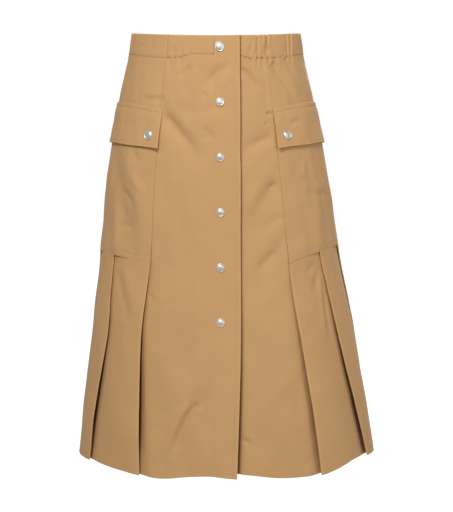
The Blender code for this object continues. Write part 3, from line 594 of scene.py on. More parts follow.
def arched(angle, level, rise):
    """A line across the side that is highest at the middle of the side."""
    across = (np.abs(angle) - PRINCESS_ANGLE) / (SIDE_SEAM_ANGLE - PRINCESS_ANGLE)
    return level + rise * 4.0 * across * (1.0 - across) * (across > 0.0)


def pocket_bottom(angle):
    rise = np.where(angle > 0.0, LEFT_POCKET_BOTTOM_RISE, POCKET_BOTTOM_RISE)
    return arched(angle, POCKET_BOTTOM, rise)


def steps(start, end, size, lines=(), beside=(0.0004, 0.0009, 0.0016)):
    """Places from start to end about a size apart, with closer ones beside the given lines."""
    count = max(1, round(abs(end - start) / size))
    places = list(np.linspace(start, end, count + 1))
    low, high = min(start, end), max(start, end)
    closer = [line + s * off for line in lines for off in (0.0, *beside) for s in (-1, 1)]
    closer = sorted(p for p in set(closer) if low <= p <= high)
    kept = [p for p in places if all(abs(p - c) > 0.4 * min(beside) for c in closer)]
    kept = [p for p in kept if p in (start, end) or all(abs(p - c) > 0.0006 for c in closer)]
    return np.array(sorted(kept + closer, reverse=start > end))


def read(owners, label, count, width=1, kind=float):
    """A mesh's own numbers, as rows of the given width."""
    values = np.empty(count * width, kind)
    owners.foreach_get(label, values)
    return values.reshape(-1, width) if width > 1 else values


def lay_cloth(
    name, places, grain=0, wall=CLOTH, keep=None, pressed=None, inside=None, rim=THIN_RIM,
):
    """A sheet laid on its places (rows from hem to waist, columns round the body) with a wall.

    keep says which squares are cut out of the cloth, pressed how close a place is to a pressed
    edge, inside how much painted shade darkens a place deep in a fold on its outer face, below
    zero where it darkens both faces. The cloth's own measures, from the column of the grain,
    become its UV map in metres.
    """
    rows, columns = places.shape[:2]
    bpy.ops.object.select_all(action="DESELECT")
    bpy.ops.mesh.primitive_grid_add(x_subdivisions=columns - 1, y_subdivisions=rows - 1, size=1.0)
    piece = bpy.context.active_object
    piece.name = piece.data.name = name
    mesh = piece.data
    flat = read(mesh.vertices, "co", len(mesh.vertices), 3)
    column = np.rint((flat[:, 0] + 0.5) * (columns - 1)).astype(int)
    row = np.rint((flat[:, 1] + 0.5) * (rows - 1)).astype(int)
    mesh.vertices.foreach_set("co", places[row, column].ravel())

    widths = np.linalg.norm(np.diff(places, axis=1), axis=2)
    heights = np.linalg.norm(np.diff(places, axis=0), axis=2)
    u = np.concatenate([np.zeros((rows, 1)), np.cumsum(widths, axis=1)], axis=1)
    u -= u[:, grain][:, None]
    v = np.concatenate([np.zeros((1, columns)), np.cumsum(heights, axis=0)], axis=0)
    v -= v[-1][None, :]
    corner = read(mesh.loops, "vertex_index", len(mesh.loops), kind=int)
    on_cloth = np.stack([u[row, column][corner], v[row, column][corner]], axis=-1)
    mesh.uv_layers.active.name = "cloth"
    mesh.uv_layers["cloth"].data.foreach_set("uv", on_cloth.ravel())
    for label, share in (("pressed", pressed), ("inside", inside)):
        values = np.zeros(len(row)) if share is None else share[row, column]
        mesh.attributes.new(label, "FLOAT", "POINT").data.foreach_set("value", values)

    if keep is not None:
        sheet = bmesh.new()
        sheet.from_mesh(mesh)
        cut_off = []
        for face in sheet.faces:
            corners = [v.index for v in face.verts]
            if not keep[row[corners].min(), column[corners].min()]:
                cut_off.append(face)
        bmesh.ops.delete(sheet, geom=cut_off, context="FACES")
        sheet.to_mesh(mesh)
        sheet.free()
    area = round(float(read(mesh.polygons, "area", len(mesh.polygons)).sum()), 4)
    size = (round(float(u.max() - u.min()), 3), round(float(v.max() - v.min()), 3))

    mesh.shade_smooth()
    thicken = piece.modifiers.new("wall", "SOLIDIFY")
    thicken.thickness = wall
    thicken.offset = 0.0
    thicken.use_even_offset = True
    roll = piece.modifiers.new("rolled_rim", "BEVEL")
    roll.width = rim
    roll.segments = 2
    roll.limit_method = "ANGLE"
    roll.angle_limit = math.radians(RIM_ANGLE)
    bpy.ops.object.modifier_apply(modifier="wall")
    bpy.ops.object.modifier_apply(modifier="rolled_rim")
    piece.data.shade_smooth()
    mesh, count = piece.data, len(piece.data.vertices)
    # the painted shade stays on the cloth's outer face only, or on both faces where it was given
    # below zero
    shade_paint = mesh.attributes["inside"].data
    depth = read(shade_paint, "value", count)
    place = read(mesh.vertices, "co", count, 3)
    facing = read(mesh.vertex_normals, "vector", count, 3)
    outer = (place[:, 0] * facing[:, 0] + place[:, 1] * facing[:, 1]) > 0.0
    shade_paint.foreach_set("value", np.where(depth < 0.0, -depth, depth * outer))
    return piece, size, area


def outward(places):
    """Outward directions of a laid grid."""
    round_it = np.gradient(places, axis=1)
    up_it = np.gradient(places, axis=0)
    direction = np.cross(round_it, up_it)
    return direction / np.linalg.norm(direction, axis=2, keepdims=True)


# A stitch is a short lump of thread; a row of them is one stitch copied along a line
STITCH_PITCH = 0.0031
STITCH_LENGTH = 0.0023
THREAD = 0.00042


def one_stitch():
    bpy.ops.object.select_all(action="DESELECT")
    bpy.ops.mesh.primitive_uv_sphere_add(segments=6, ring_count=4, radius=0.5)
    bead = bpy.context.active_object
    bpy.ops.object.mode_set(mode="EDIT")
    bpy.ops.mesh.select_all(action="SELECT")
    bpy.ops.transform.rotate(value=math.pi / 2, orient_axis="Y", center_override=(0, 0, 0))
    bpy.ops.transform.resize(value=(STITCH_LENGTH, THREAD, THREAD))
    bpy.ops.object.mode_set(mode="OBJECT")
    corners = np.array([v.co[:] for v in bead.data.vertices])
    faces = [list(p.vertices) for p in bead.data.polygons]
    bpy.data.objects.remove(bead, do_unlink=True)
    return corners, faces


STITCH_CORNERS, STITCH_FACES = one_stitch()


def sew(name, lines, wall=CLOTH):
    """Rows of stitches along lines, each a pair of places and outward directions."""
    corners, faces = [], []
    for places, out in lines:
        walked = np.concatenate([[0.0], np.cumsum(np.linalg.norm(np.diff(places, axis=0), axis=1))])
        for start in np.arange(STITCH_PITCH, walked[-1] - STITCH_PITCH, STITCH_PITCH):
            a, b, up = (
                np.array([np.interp(start + further, walked, of[:, k]) for k in range(3)])
                for further, of in ((0, places), (STITCH_LENGTH, places), (0, out))
            )
            way = (b - a) / np.linalg.norm(b - a)
            aside = np.cross(up, way)
            aside /= np.linalg.norm(aside)
            up = np.cross(way, aside)
            middle = (a + b) / 2 + up * (wall / 2 + 0.12 * THREAD)
            made = len(corners) * len(STITCH_CORNERS)
            faces += [[i + made for i in face] for face in STITCH_FACES]
            corners.append(middle + STITCH_CORNERS @ np.array([way, aside, up]))
    mesh = bpy.data.meshes.new(name)
    mesh.from_pydata(np.concatenate(corners).tolist(), [], faces)
    mesh.shade_smooth()
    thread = bpy.data.objects.new(name, mesh)
    bpy.context.scene.collection.objects.link(thread)
    thread.data.materials.append(THREAD_FINISH)
    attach(thread, "root")
    return thread


# The twill: a fine diagonal rib, threads that are not all alike, a soft bloom at low angles,
# a slightly paler line where a fold has been pressed, the rumpling of worn cotton, and painted
# shade that darkens its colour deep in the pleats' folds and in the gap beside the closing
CAMEL = (0.605, 0.350, 0.150)
DYE_SHARES = (0.93, 1.06)    # of it in the weave's hollows and on its tops
PRESSED_SHARE = 0.55         # how much of the paler tone a pressed edge takes on
FOLD_SHADE_PAINT = (0.26, 0.155, 0.10)   # shares of it painted as shade deep inside a fold
THREAD_TONES = (0.50, 0.30, 0.135), (0.66, 0.41, 0.200)
RIB_PITCH = 0.0009
RIB_ANGLE = 63.0
RIB_HEIGHT = 0.75            # of the rib, as a share of the threads' own height
SLUB = 0.20
WEAVE_BUMP = 0.16
RUMPLE = 0.0016
WAVE_RADIANS = 20.0          # a wave texture goes through these for each unit of its scale


def colour_ramp(tree, tones, ends=(0.0, 1.0)):
    node = add_node(tree, "ValToRGB")
    for stop, tone, end in zip(node.color_ramp.elements, tones, ends):
        stop.position, stop.color = end, (*tone, 1.0)
    return node


def twill_group():
    """Colour share and height of the weave at a place of the cloth, in metres."""
    group = bpy.data.node_groups.new("twill_weave", "ShaderNodeTree")
    for way, label, kind in (
        ("INPUT", "Cloth", "Vector"), ("INPUT", "Rib Scale", "Float"), ("INPUT", "Slub", "Float"),
        ("OUTPUT", "Shade", "Float"), ("OUTPUT", "Height", "Float"),
    ):
        group.interface.new_socket(label, in_out=way, socket_type="NodeSocket" + kind)
    enter, leave = group.nodes.new("NodeGroupInput"), group.nodes.new("NodeGroupOutput")
    turned = add_node(group, "Mapping", Rotation=(0.0, 0.0, math.radians(RIB_ANGLE)))
    waves = {"wave_type": "BANDS", "bands_direction": "X", "wave_profile": "SIN"}
    rib = add_node(group, "TexWave", waves, Distortion=0.6, Detail=1.0)
    thread = add_node(group, "TexNoise", Scale=900.0, Detail=2.0)
    drawn = add_node(group, "Mapping", Scale=(420.0, 26.0, 1.0))
    slub = add_node(group, "TexNoise", Scale=1.0, Detail=3.0)
    height = times(group, "MULTIPLY_ADD", RIB_HEIGHT)
    shade = add_node(group, "Mix", {"data_type": "FLOAT"})
    wire(
        group, (enter, "Cloth", turned, "Vector"), (turned, 0, rib, "Vector"),
        (enter, "Rib Scale", rib, "Scale"), (enter, "Cloth", thread, "Vector"),
        (enter, "Cloth", drawn, "Vector"), (drawn, 0, slub, "Vector"),
        (rib, "Fac", height, 0), (thread, "Fac", height, 2),
        (enter, "Slub", shade, "Factor"), (height, 0, shade, "A"), (slub, "Fac", shade, "B"),
        (shade, "Result", leave, "Shade"), (height, 0, leave, "Height"),
    )
    return group


TWILL_WEAVE = twill_group()


def twill(name):
    """A twill finish that reads the piece's own cloth measures."""
    finish, tree, shader = new_finish(
        name, Sheen_Weight=0.10, Sheen_Roughness=0.45, Specular_IOR_Level=0.28,
    )
    cloth, place = add_node(tree, "UVMap", {"uv_map": "cloth"}), add_node(tree, "TexCoord")
    rib_scale = 2.0 * math.pi / (WAVE_RADIANS * RIB_PITCH)
    weave = add_node(tree, "Group", {"node_tree": TWILL_WEAVE}, Rib_Scale=rib_scale, Slub=SLUB)
    dye = colour_ramp(tree, [[c * share for c in CAMEL] for share in DYE_SHARES], (0.15, 0.95))
    wide = add_node(tree, "TexNoise", Scale=9.0, Detail=3.0)
    tone = add_node(tree, "MapRange", From_Min=0.30, From_Max=0.70, To_Min=0.97, To_Max=1.02)
    faded = add_node(tree, "Mix", {"data_type": "RGBA", "blend_type": "MULTIPLY"}, Factor=1.0)
    pressed = add_node(tree, "Attribute", {"attribute_name": "pressed"})
    amount = times(tree, "MULTIPLY", PRESSED_SHARE)
    paler = (*(min(1.0, c * 1.16 + 0.012) for c in CAMEL), 1.0)
    worn = add_node(tree, "Mix", {"data_type": "RGBA"}, B=paler)
    # painted shade: the colour darkens where the inside attribute marks a place deep in a fold or
    # in the gap beside the closing
    fold = add_node(tree, "Attribute", {"attribute_name": "inside"})
    shade_colour = (*(c * share for c, share in zip(CAMEL, FOLD_SHADE_PAINT)), 1.0)
    painted_shade = add_node(tree, "Mix", {"data_type": "RGBA"}, B=shade_colour)
    rough = add_node(tree, "MapRange", To_Min=0.78, To_Max=0.92)
    relief = add_node(tree, "Bump", Strength=WEAVE_BUMP, Distance=0.0003)
    rumpled = add_node(tree, "TexNoise", Scale=30.0, Detail=2.0)
    rumple = add_node(tree, "Bump", Strength=1.0, Distance=RUMPLE)
    wire(
        tree, (cloth, "UV", weave, "Cloth"), (place, "Object", wide, "Vector"),
        (weave, "Shade", dye, "Fac"), (wide, "Fac", tone, "Value"),
        (dye, "Color", faded, "A"), (tone, "Result", faded, "B"),
        (pressed, "Fac", amount, 0), (amount, 0, worn, "Factor"), (faded, "Result", worn, "A"),
        (fold, "Fac", painted_shade, "Factor"), (worn, "Result", painted_shade, "A"),
        (painted_shade, "Result", shader, "Base Color"),
        (weave, "Shade", rough, "Value"), (rough, "Result", shader, "Roughness"),
        (weave, "Height", relief, "Height"), (place, "Object", rumpled, "Vector"),
        (rumpled, "Fac", rumple, "Height"), (rumple, "Normal", relief, "Normal"),
        (relief, "Normal", shader, "Normal"),
    )
    return finish


def thread_finish():
    """Polyester thread in the cloth's own colour, a little shinier."""
    finish, tree, shader = new_finish("tan_thread", Roughness=0.55)
    place, twist = add_node(tree, "TexCoord"), add_node(tree, "TexNoise", Scale=1500.0)
    dye = colour_ramp(tree, THREAD_TONES)
    wire(
        tree, (place, "Object", twist, "Vector"), (twist, "Fac", dye, "Fac"),
        (dye, "Color", shader, "Base Color"),
    )
    return finish


THREAD_FINISH = thread_finish()


def finish_cloth(laid, node):
    """Gives a laid piece of cloth its material and body and hides the node it stands for; its size
    and area are not used.
    """
    piece, size, area = laid
    piece.data.materials.append(twill(f"{piece.name}_twill"))
    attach(piece, "root")
    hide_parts(node)


def under_pleat(rows, side, z):
    """How many degrees the cloth reaches under a pleat's edge."""
    depth = UNDERLAY_TOP + (UNDERLAY_HEM - UNDERLAY_TOP) * blend(z, POCKET_BOTTOM, HEM_LEVEL)
    return degrees_for(depth, edge_angle(rows, side, z), z)


# How deep the cloth falls away under a pleat's folded edge, and how much painted shade darkens
# it there; then, for the three pleats of a side, their shares of both and where the painted shade
# begins behind the edge
PleatGap = namedtuple("PleatGap", "z depth shade")
PLEAT_GAP = [
    PleatGap(-0.334, 0.0006, 0.50), PleatGap(-0.400, 0.0022, 0.90), PleatGap(-0.470, 0.0032, 1.0),
    PleatGap(-0.540, 0.0040, 1.0), PleatGap(-0.600, 0.0032, 0.95), PleatGap(-0.635, 0.0018, 0.75),
    PleatGap(-0.665, 0.0008, 0.50),
]
GAP_SHARES = {RIGHT: (0.95, 0.40, 0.4), LEFT: (0.45, 0.50, 0.4)}
SHADE_SHARES = {RIGHT: (1.0, 0.9, 0.7), LEFT: (0.45, 0.95, 0.7)}
SHADE_FROM = (-0.0005, 0.0022, 0.0)
SHADE_OVER = 0.0030


def under_edge(rows, side, pleat, angle, z):
    """Under a pleat's edge: how far the cloth falls away, and how much painted shade it takes on.
    """
    edge = edge_angle(rows, side, z)
    past = (np.abs(angle) - np.abs(edge)) / degrees_for(1.0, edge, z)
    free = z < POCKET_BOTTOM
    falls = GAP_SHARES[side][pleat] * np.maximum(along(PLEAT_GAP, z, "depth"), 0.0) * free
    shade = SHADE_SHARES[side][pleat] * np.clip(along(PLEAT_GAP, z, "shade"), 0.0, 1.0) * free
    falls = falls * blend(past, -0.0070, 0.0010) * (1.0 - blend(past, 0.0120, 0.0340))
    return falls, shade * blend(past, SHADE_FROM[pleat], SHADE_FROM[pleat] + SHADE_OVER)


def front_outer(side, z):
    """The angle of the seam, and below the pocket of the folded edge, beside a front."""
    fold, seam = edge_angle(FRONT_PLEAT, side, z), edge_angle(PRINCESS, side, z)
    return np.where(z < POCKET_BOTTOM, fold, seam)


def front_angle(side, z, share):
    """0 at the free edge, 1 where the strip or underlap ends, 2 at the seam, 3 under the pleat."""
    edge_x = along(PLACKET, z, "x")
    line_x = edge_x - STRIP_WIDTH
    if side == LEFT:
        edge_x, line_x = edge_x - UNDERLAP_WIDTH, edge_x + UNDERLAP_SHOWS
    outer = front_outer(side, z)
    free, line = angle_at_x(edge_x, z), angle_at_x(line_x, z)
    to_line, to_seam = free + (line - free) * share, line + (outer - line) * (share - 1.0)
    angle = np.where(share <= 1.0, to_line, to_seam)
    hidden = outer + side * under_pleat(FRONT_PLEAT, side, z) * (share - 2.0)
    return np.where(share <= 2.0, angle, hidden)


def front_level(angle, z, side):
    """How far a front lies outside the tube, without its folds."""
    edge = angle_at_x(along(PLACKET, z, "x"), z)
    opening = PLACKET_OPEN_HEM * blend(z, PLACKET_OPEN_FROM, HEM_LEVEL)
    if side == RIGHT:
        near = blend(angle, *(edge - degrees_for(away, edge, z) for away in OVERLAP_RISE))
        level = OVERLAP_OUT * near
        opens_from = edge - degrees_for(PLACKET_OPEN_WIDTH, edge, z)
        level = level + opening * blend(angle, opens_from, edge)
        level = level - dip((angle - edge) / degrees_for(1.0, edge, z), EDGE_RISE, EDGE_RISE_WIDTH)
    else:
        near = blend(angle, *(edge + degrees_for(away, edge, z) for away in UNDERLAP_SINK))
        level = -(UNDERLAP_IN + UNDERLAP_FALLS_BACK * opening) * near
        wide = TRENCH_WIDTH * (1.0 + 0.9 * opening / PLACKET_OPEN_HEM)
        level = level + dip((angle - edge) / degrees_for(1.0, edge, z), TRENCH, wide)
    pleat = edge_angle(FRONT_PLEAT, side, z)
    flare_from = np.abs(pleat) - degrees_for(FRONT_FLARE_WIDTH, pleat, z)
    hidden = blend(np.abs(angle), flare_from, np.abs(pleat))
    return level - FRONT_FLARE * hidden * blend(z, POCKET_BOTTOM, HEM_LEVEL)


# Painted shade on the underlap in the gap beside the overlap's free edge
BEHIND_EDGE = 0.0042     # how wide the painted shade beside the overlap's edge is at the top
BEHIND_WIDER = 0.0045    # and how much wider at the hem
BEHIND_SHADE = 0.85


def painted_gap_shade(angle, z):
    """How much painted shade darkens the underlap's cloth in the gap beside the overlap's free
    edge.
    """
    edge = angle_at_x(along(PLACKET, z, "x"), z)
    beside = (angle - edge) / degrees_for(1.0, edge, z)
    wide = BEHIND_EDGE + BEHIND_WIDER * blend(z, PLACKET_OPEN_FROM, HEM_LEVEL)
    return BEHIND_SHADE * blend(beside, wide, 0.35 * wide) * blend(beside, -0.008, -0.004)


def cloth_height(angle, z):
    """What every layer of the skirt's cloth shares: soft folds, creases and drift."""
    hand = creased(angle, z, FRONT_CREASES) + creased(angle, z, BAND_CREASES)
    below_seam = blend(z, BAND_BOTTOM_FLAT - 0.002, BAND_BOTTOM_FLAT - 0.010)
    return soft_folds(angle, z) + hand * (0.65 + 0.35 * below_seam) + drift(angle, z)


# Rows of a long panel: nominal height, how far its hem's turn-up lies inside, and how far
# above the hem it is, so that the hem is a rounded fold
PanelRow = namedtuple("PanelRow", "level inside up")


FOLD_TURNS = [math.radians(degrees) for degrees in (30, 60, 90, 120, 150, 180)]


def panel_rows(levels):
    turned_up = steps(TURN_UP, 0.0, 0.0035)
    rows = [PanelRow(HEM_LEVEL, 2 * FOLD_RADIUS, FOLD_RADIUS + up) for up in turned_up]
    for turn in FOLD_TURNS:
        inside = FOLD_RADIUS * (1.0 + math.cos(turn))
        rows.append(PanelRow(HEM_LEVEL, inside, FOLD_RADIUS * (1.0 - math.sin(turn))))
    rows += [PanelRow(level, 0.0, 0.0) for level in levels[1:]]
    return rows


def front_height(side, rows, angle, share):
    """Heights of a front's rows: they follow the hem, the pocket's bottom and the band."""
    level, up = upright(rows, "level"), upright(rows, "up")
    foot = hem(angle)
    if side == RIGHT:
        foot = foot - OVERLAP_HEM_DROP * blend(share, 1.5, 0.0)
    else:
        foot = foot + UNDERLAP_HEM_RISE * blend(share, 1.6, 1.0)
    near_hem = np.clip((HEM_LEVEL + HEM_FOLLOWS - level) / HEM_FOLLOWS, 0.0, 1.0)
    z = level + (foot - HEM_LEVEL) * near_hem + up
    near_band = np.clip((level - BAND_BOTTOM_FLAT + BAND_FOLLOWS) / BAND_FOLLOWS, 0.0, 1.0)
    in_band = np.clip((level - BAND_BOTTOM_FLAT) / (BAND_TOP_FRONT - BAND_BOTTOM_FLAT), 0.0, 1.0)
    to_bottom = band_bottom(angle) - SEAM - BAND_BOTTOM_FLAT
    to_top = band_top(angle) - BAND_TOP_FRONT
    return z + to_bottom * near_band * (1.0 - in_band) + to_top * in_band


def lay_front(side, shares, rows, edge_fold):
    """Places of a front; edge_fold holds the columns folded back inside its free edge."""
    share = np.array(list(shares) + [0.0] * len(edge_fold))[None, :]
    back, inside = (
        np.array([0.0] * len(shares) + [fold[k] for fold in edge_fold])[None, :] for k in (0, 1)
    )
    level = upright(rows, "level") + 0.0 * share
    angle = front_angle(side, level, share)
    angle = angle + side * degrees_for(back, angle, level)
    seam = edge_angle(PRINCESS, side, level)
    at_seam = (share == 2.0) & (level > POCKET_BOTTOM)
    angle = np.where(at_seam, seam - side * degrees_for(SEAM / 2, seam, level), angle)
    z = front_height(side, rows, angle, share)
    level_z = np.maximum(z, hem(angle))
    # the cloth under the first pleat's edge falls away and takes painted shade there
    falls, painted_fold_shade = under_edge(FRONT_PLEAT, side, 0, angle, level_z)
    out = front_level(angle, level_z, side) + cloth_height(angle, level_z) - falls
    from_seam = np.abs(angle - seam) / degrees_for(1.0, seam, level)
    sewn = level > POCKET_BOTTOM
    out = out + sewn * (dip(from_seam, SEAM_SINK, SEAM_SINK_WIDTH) + pucker(from_seam, z))
    beside_pocket = blend(level, -0.110, -0.120) * sewn
    out = out - beside_pocket * dip(from_seam, POCKET_SIDE_RISE, POCKET_SIDE_WIDTH)
    out = out + hem_seam(z - hem(angle))
    out = out - inside - upright(rows, "inside")
    # painted shade on the underlap in the gap beside the overlap's free edge
    if side == LEFT:
        painted_fold_shade = np.maximum(painted_fold_shade, painted_gap_shade(angle, z))
    return angle, z, out, painted_fold_shade


FRONT_LEVELS = np.concatenate([
    steps(HEM_LEVEL, POCKET_BOTTOM, CELL, lines=[HEM_LEVEL + TURN_UP]),
    steps(POCKET_BOTTOM, BAND_BOTTOM_FLAT, CELL)[1:],
])
FRONT_ROWS = panel_rows(FRONT_LEVELS)
SEAM_BESIDE = np.array([0.0006, 0.0012, 0.0020, 0.0032])
PANEL_WIDTH = 0.090      # about the width of a front between the strip and the seam

underlap_shares = np.concatenate([
    np.linspace(0.0, 1.0, 18)[:-1],
    np.linspace(1.0, 2.0 - SEAM_BESIDE[-1] / PANEL_WIDTH, 40)[:-1],
    2.0 - SEAM_BESIDE[::-1] / PANEL_WIDTH,
    np.linspace(2.0, 3.0, 13),
])
angle, z, out, painted_fold_shade = lay_front(LEFT, underlap_shares, FRONT_ROWS, [])
places = tube(angle, z, out)
rows_level = np.array([row.level for row in FRONT_ROWS])
keep = np.ones(places.shape[:2], bool)
keep[np.ix_(rows_level >= POCKET_BOTTOM, underlap_shares >= 2.0)] = False
underlap = lay_cloth("left_front", places, keep=keep, pressed=at_hem(angle, z), inside=painted_fold_shade)
finish_cloth(underlap, "left_front_underlap")

# The right front, the overlap -------------------------------------------------------------
# The panel on top of the closing. A strip of its own cloth runs down its free edge, unbroken
# through the waistband; the edge is folded back and held with one row of stitches.
EDGE_STITCH = 0.0064     # from the free edge
STRIP_STITCH = 0.0015    # from the strip's seam, on the panel's side
EDGE_TURN = 0.0140       # the folded part inside the edge
STRIP_SEAM_SINK = 0.00045
BAND_SEAM_SHARE = 0.3    # of that where the strip passes the band


def nearest(places, place):
    """Which of the places is the nearest."""
    return int(np.argmin(np.abs(places - place)))


strip_places = steps(0.0, STRIP_WIDTH, CELL, lines=[EDGE_STITCH])
overlap_shares = np.concatenate([
    np.linspace(3.0, 2.0, 13)[:-1],
    [2.0],
    2.0 - SEAM_BESIDE / PANEL_WIDTH,
    np.linspace(2.0 - SEAM_BESIDE[-1] / PANEL_WIDTH, 1.0 + 0.0045 / PANEL_WIDTH, 38)[1:],
    1.0 + np.array([0.0035, 0.0027, 0.0021, 0.0015, 0.0009, 0.0004]) / PANEL_WIDTH,
    strip_places[::-1] / STRIP_WIDTH,
])
edge_fold = [
    (FOLD_RADIUS * (1.0 - math.sin(turn)) - FOLD_RADIUS, FOLD_RADIUS * (1.0 - math.cos(turn)))
    for turn in FOLD_TURNS
]
edge_fold += [(back, 2 * FOLD_RADIUS) for back in steps(0.0, EDGE_TURN, CELL)[1:]]

band_levels = steps(BAND_BOTTOM_FLAT, BAND_TOP_FRONT, 0.0020)
strip_levels = np.concatenate([FRONT_LEVELS, band_levels[1:]])
overlap_rows = panel_rows(strip_levels)
angle, z, out, painted_fold_shade = lay_front(RIGHT, overlap_shares, overlap_rows, edge_fold)
all_shares = np.array(list(overlap_shares) + [0.0] * len(edge_fold))
rows_level = np.array([row.level for row in overlap_rows])
past_strip = STRIP_WIDTH + (all_shares - 1.0) * PANEL_WIDTH
from_edge = np.where(all_shares <= 1.0, all_shares * STRIP_WIDTH, past_strip)
line_dip = dip(from_edge - EDGE_STITCH) + pucker(from_edge - EDGE_STITCH, z) * 0.6
line_dip += dip(from_edge - STRIP_WIDTH - STRIP_STITCH) * (rows_level < BAND_BOTTOM_FLAT)[:, None]
strip_seam = dip(from_edge - STRIP_WIDTH, STRIP_SEAM_SINK, 0.0010)
strip_seam = strip_seam + 0.5 * pucker(from_edge - STRIP_WIDTH, z + 0.02)
line_dip += strip_seam * np.where(rows_level > BAND_BOTTOM_FLAT, BAND_SEAM_SHARE, 1.0)[:, None]
out = out + line_dip
places = tube(angle, z, out)
keep = np.ones(places.shape[:2], bool)
share_right = np.append(all_shares[1:], 0.0)
keep[np.ix_(rows_level >= POCKET_BOTTOM, share_right >= 2.0)] = False
keep[np.ix_(rows_level >= BAND_BOTTOM_FLAT, share_right >= 1.0)] = False
pressed = np.clip(at_hem(angle, z) + hump(from_edge, 0.0010)[None, :], 0, 1)
overlap = lay_cloth(
    "right_front", places, grain=nearest(all_shares, 1.0), keep=keep, pressed=pressed,
    inside=painted_fold_shade,
)
facing = outward(places)
column = nearest(from_edge[: len(overlap_shares)], EDGE_STITCH)
outside = [i for i, row in enumerate(overlap_rows) if row.inside == 0.0]
overlap_stitches = sew("right_front_stitches", [(places[outside, column], facing[outside, column])])
finish_cloth(
    overlap, "right_front_overlap",
)

# The upper sides --------------------------------------------------------------------------
# Each runs from the front's seam round the hip to the back's seam, from the waistband to the
# top of the pleats. The pocket lies on the lower part of it.
FLAP_TOP = -0.0935
FLAP_RISE = 0.0085
POCKET_TOP_UNDER_FLAP = 0.0180
SIDE_LENGTH = 0.200      # about the way round a side, for spacing columns


def side_seam(z):
    below_pocket = np.clip((POCKET_BOTTOM - z) / (POCKET_BOTTOM - HEM_LEVEL), 0.0, 1.0)
    return SIDE_SEAM_ANGLE + SIDE_SEAM_SPREAD * below_pocket


def side_angle(side, z, share):
    """The angle of a column across the side, a hair inside its two seams."""
    seam = edge_angle(PRINCESS, side, z)
    start = seam + side * degrees_for(SEAM / 2, seam, z)
    back = side * (side_seam(z) - degrees_for(SEAM / 2, SIDE_SEAM_ANGLE, z))
    return start + (back - start) * share


def side_columns(size, lines=()):
    """Shares across a side from front to back, closer together at its two seams."""
    near = np.concatenate([SEAM_BESIDE, lines]) if len(lines) else SEAM_BESIDE
    last = near.max() + 0.001
    middle = np.linspace(last, SIDE_LENGTH - near.max() - 0.001, round(SIDE_LENGTH / size))
    near = np.sort(near)
    places = np.concatenate([[0.0], near, middle, SIDE_LENGTH - near[::-1], [SIDE_LENGTH]])
    return places / SIDE_LENGTH


def ordered(side, columns):
    """Columns in the order of growing angle, so that the cloth faces outwards."""
    return columns if side == LEFT else columns[::-1]


side_columns_upper = side_columns(0.0034)
for label, side in (("right", RIGHT), ("left", LEFT)):
    share = ordered(side, side_columns_upper)[None, :]
    rough = side_angle(side, FLAP_TOP, share)
    at_band = side_angle(side, BAND_BOTTOM_GATHERED, share)
    pocket_top = arched(rough, FLAP_TOP - POCKET_TOP_UNDER_FLAP, FLAP_RISE)
    covered = np.linspace(0.0, 1.0, 44)[:-1, None]
    above = np.linspace(0.0, 1.0, 44)[:, None]
    z = np.concatenate([
        pocket_bottom(rough) + (pocket_top - pocket_bottom(rough)) * covered,
        pocket_top + (band_bottom(at_band) - SEAM - pocket_top) * above,
    ])
    angle = side_angle(side, z, share)
    seam = edge_angle(PRINCESS, side, z)
    from_front = np.abs(angle - seam) / degrees_for(1.0, seam, z)
    from_back = np.abs(np.abs(angle) - side_seam(z)) / degrees_for(1.0, SIDE_SEAM_ANGLE, z)
    out = cloth_height(angle, z)
    for away in (from_front, from_back):
        out = out + dip(away, SEAM_SINK, SEAM_SINK_WIDTH) + pucker(away, z)
    places = tube(angle, z, out)
    finish_cloth(lay_cloth(f"{label}_upper_side", places), f"{label}_side_upper")

# The patch pockets ------------------------------------------------------------------------
# A large flat pocket on each side, sewn on with two rows of stitches at its front and bottom.
# It takes in the whole side, swells a little, and its foot covers the top of the pleats.
POCKET_WALL = 0.0009
POCKET_OUT = 0.00135
POCKET_BULGE = 0.0022
POCKET_STITCHES = (0.0018, 0.0078)   # from the edge
POCKET_HEIGHT = 0.230
BESIDE_STITCH = (-0.0006, 0.0, 0.0006)

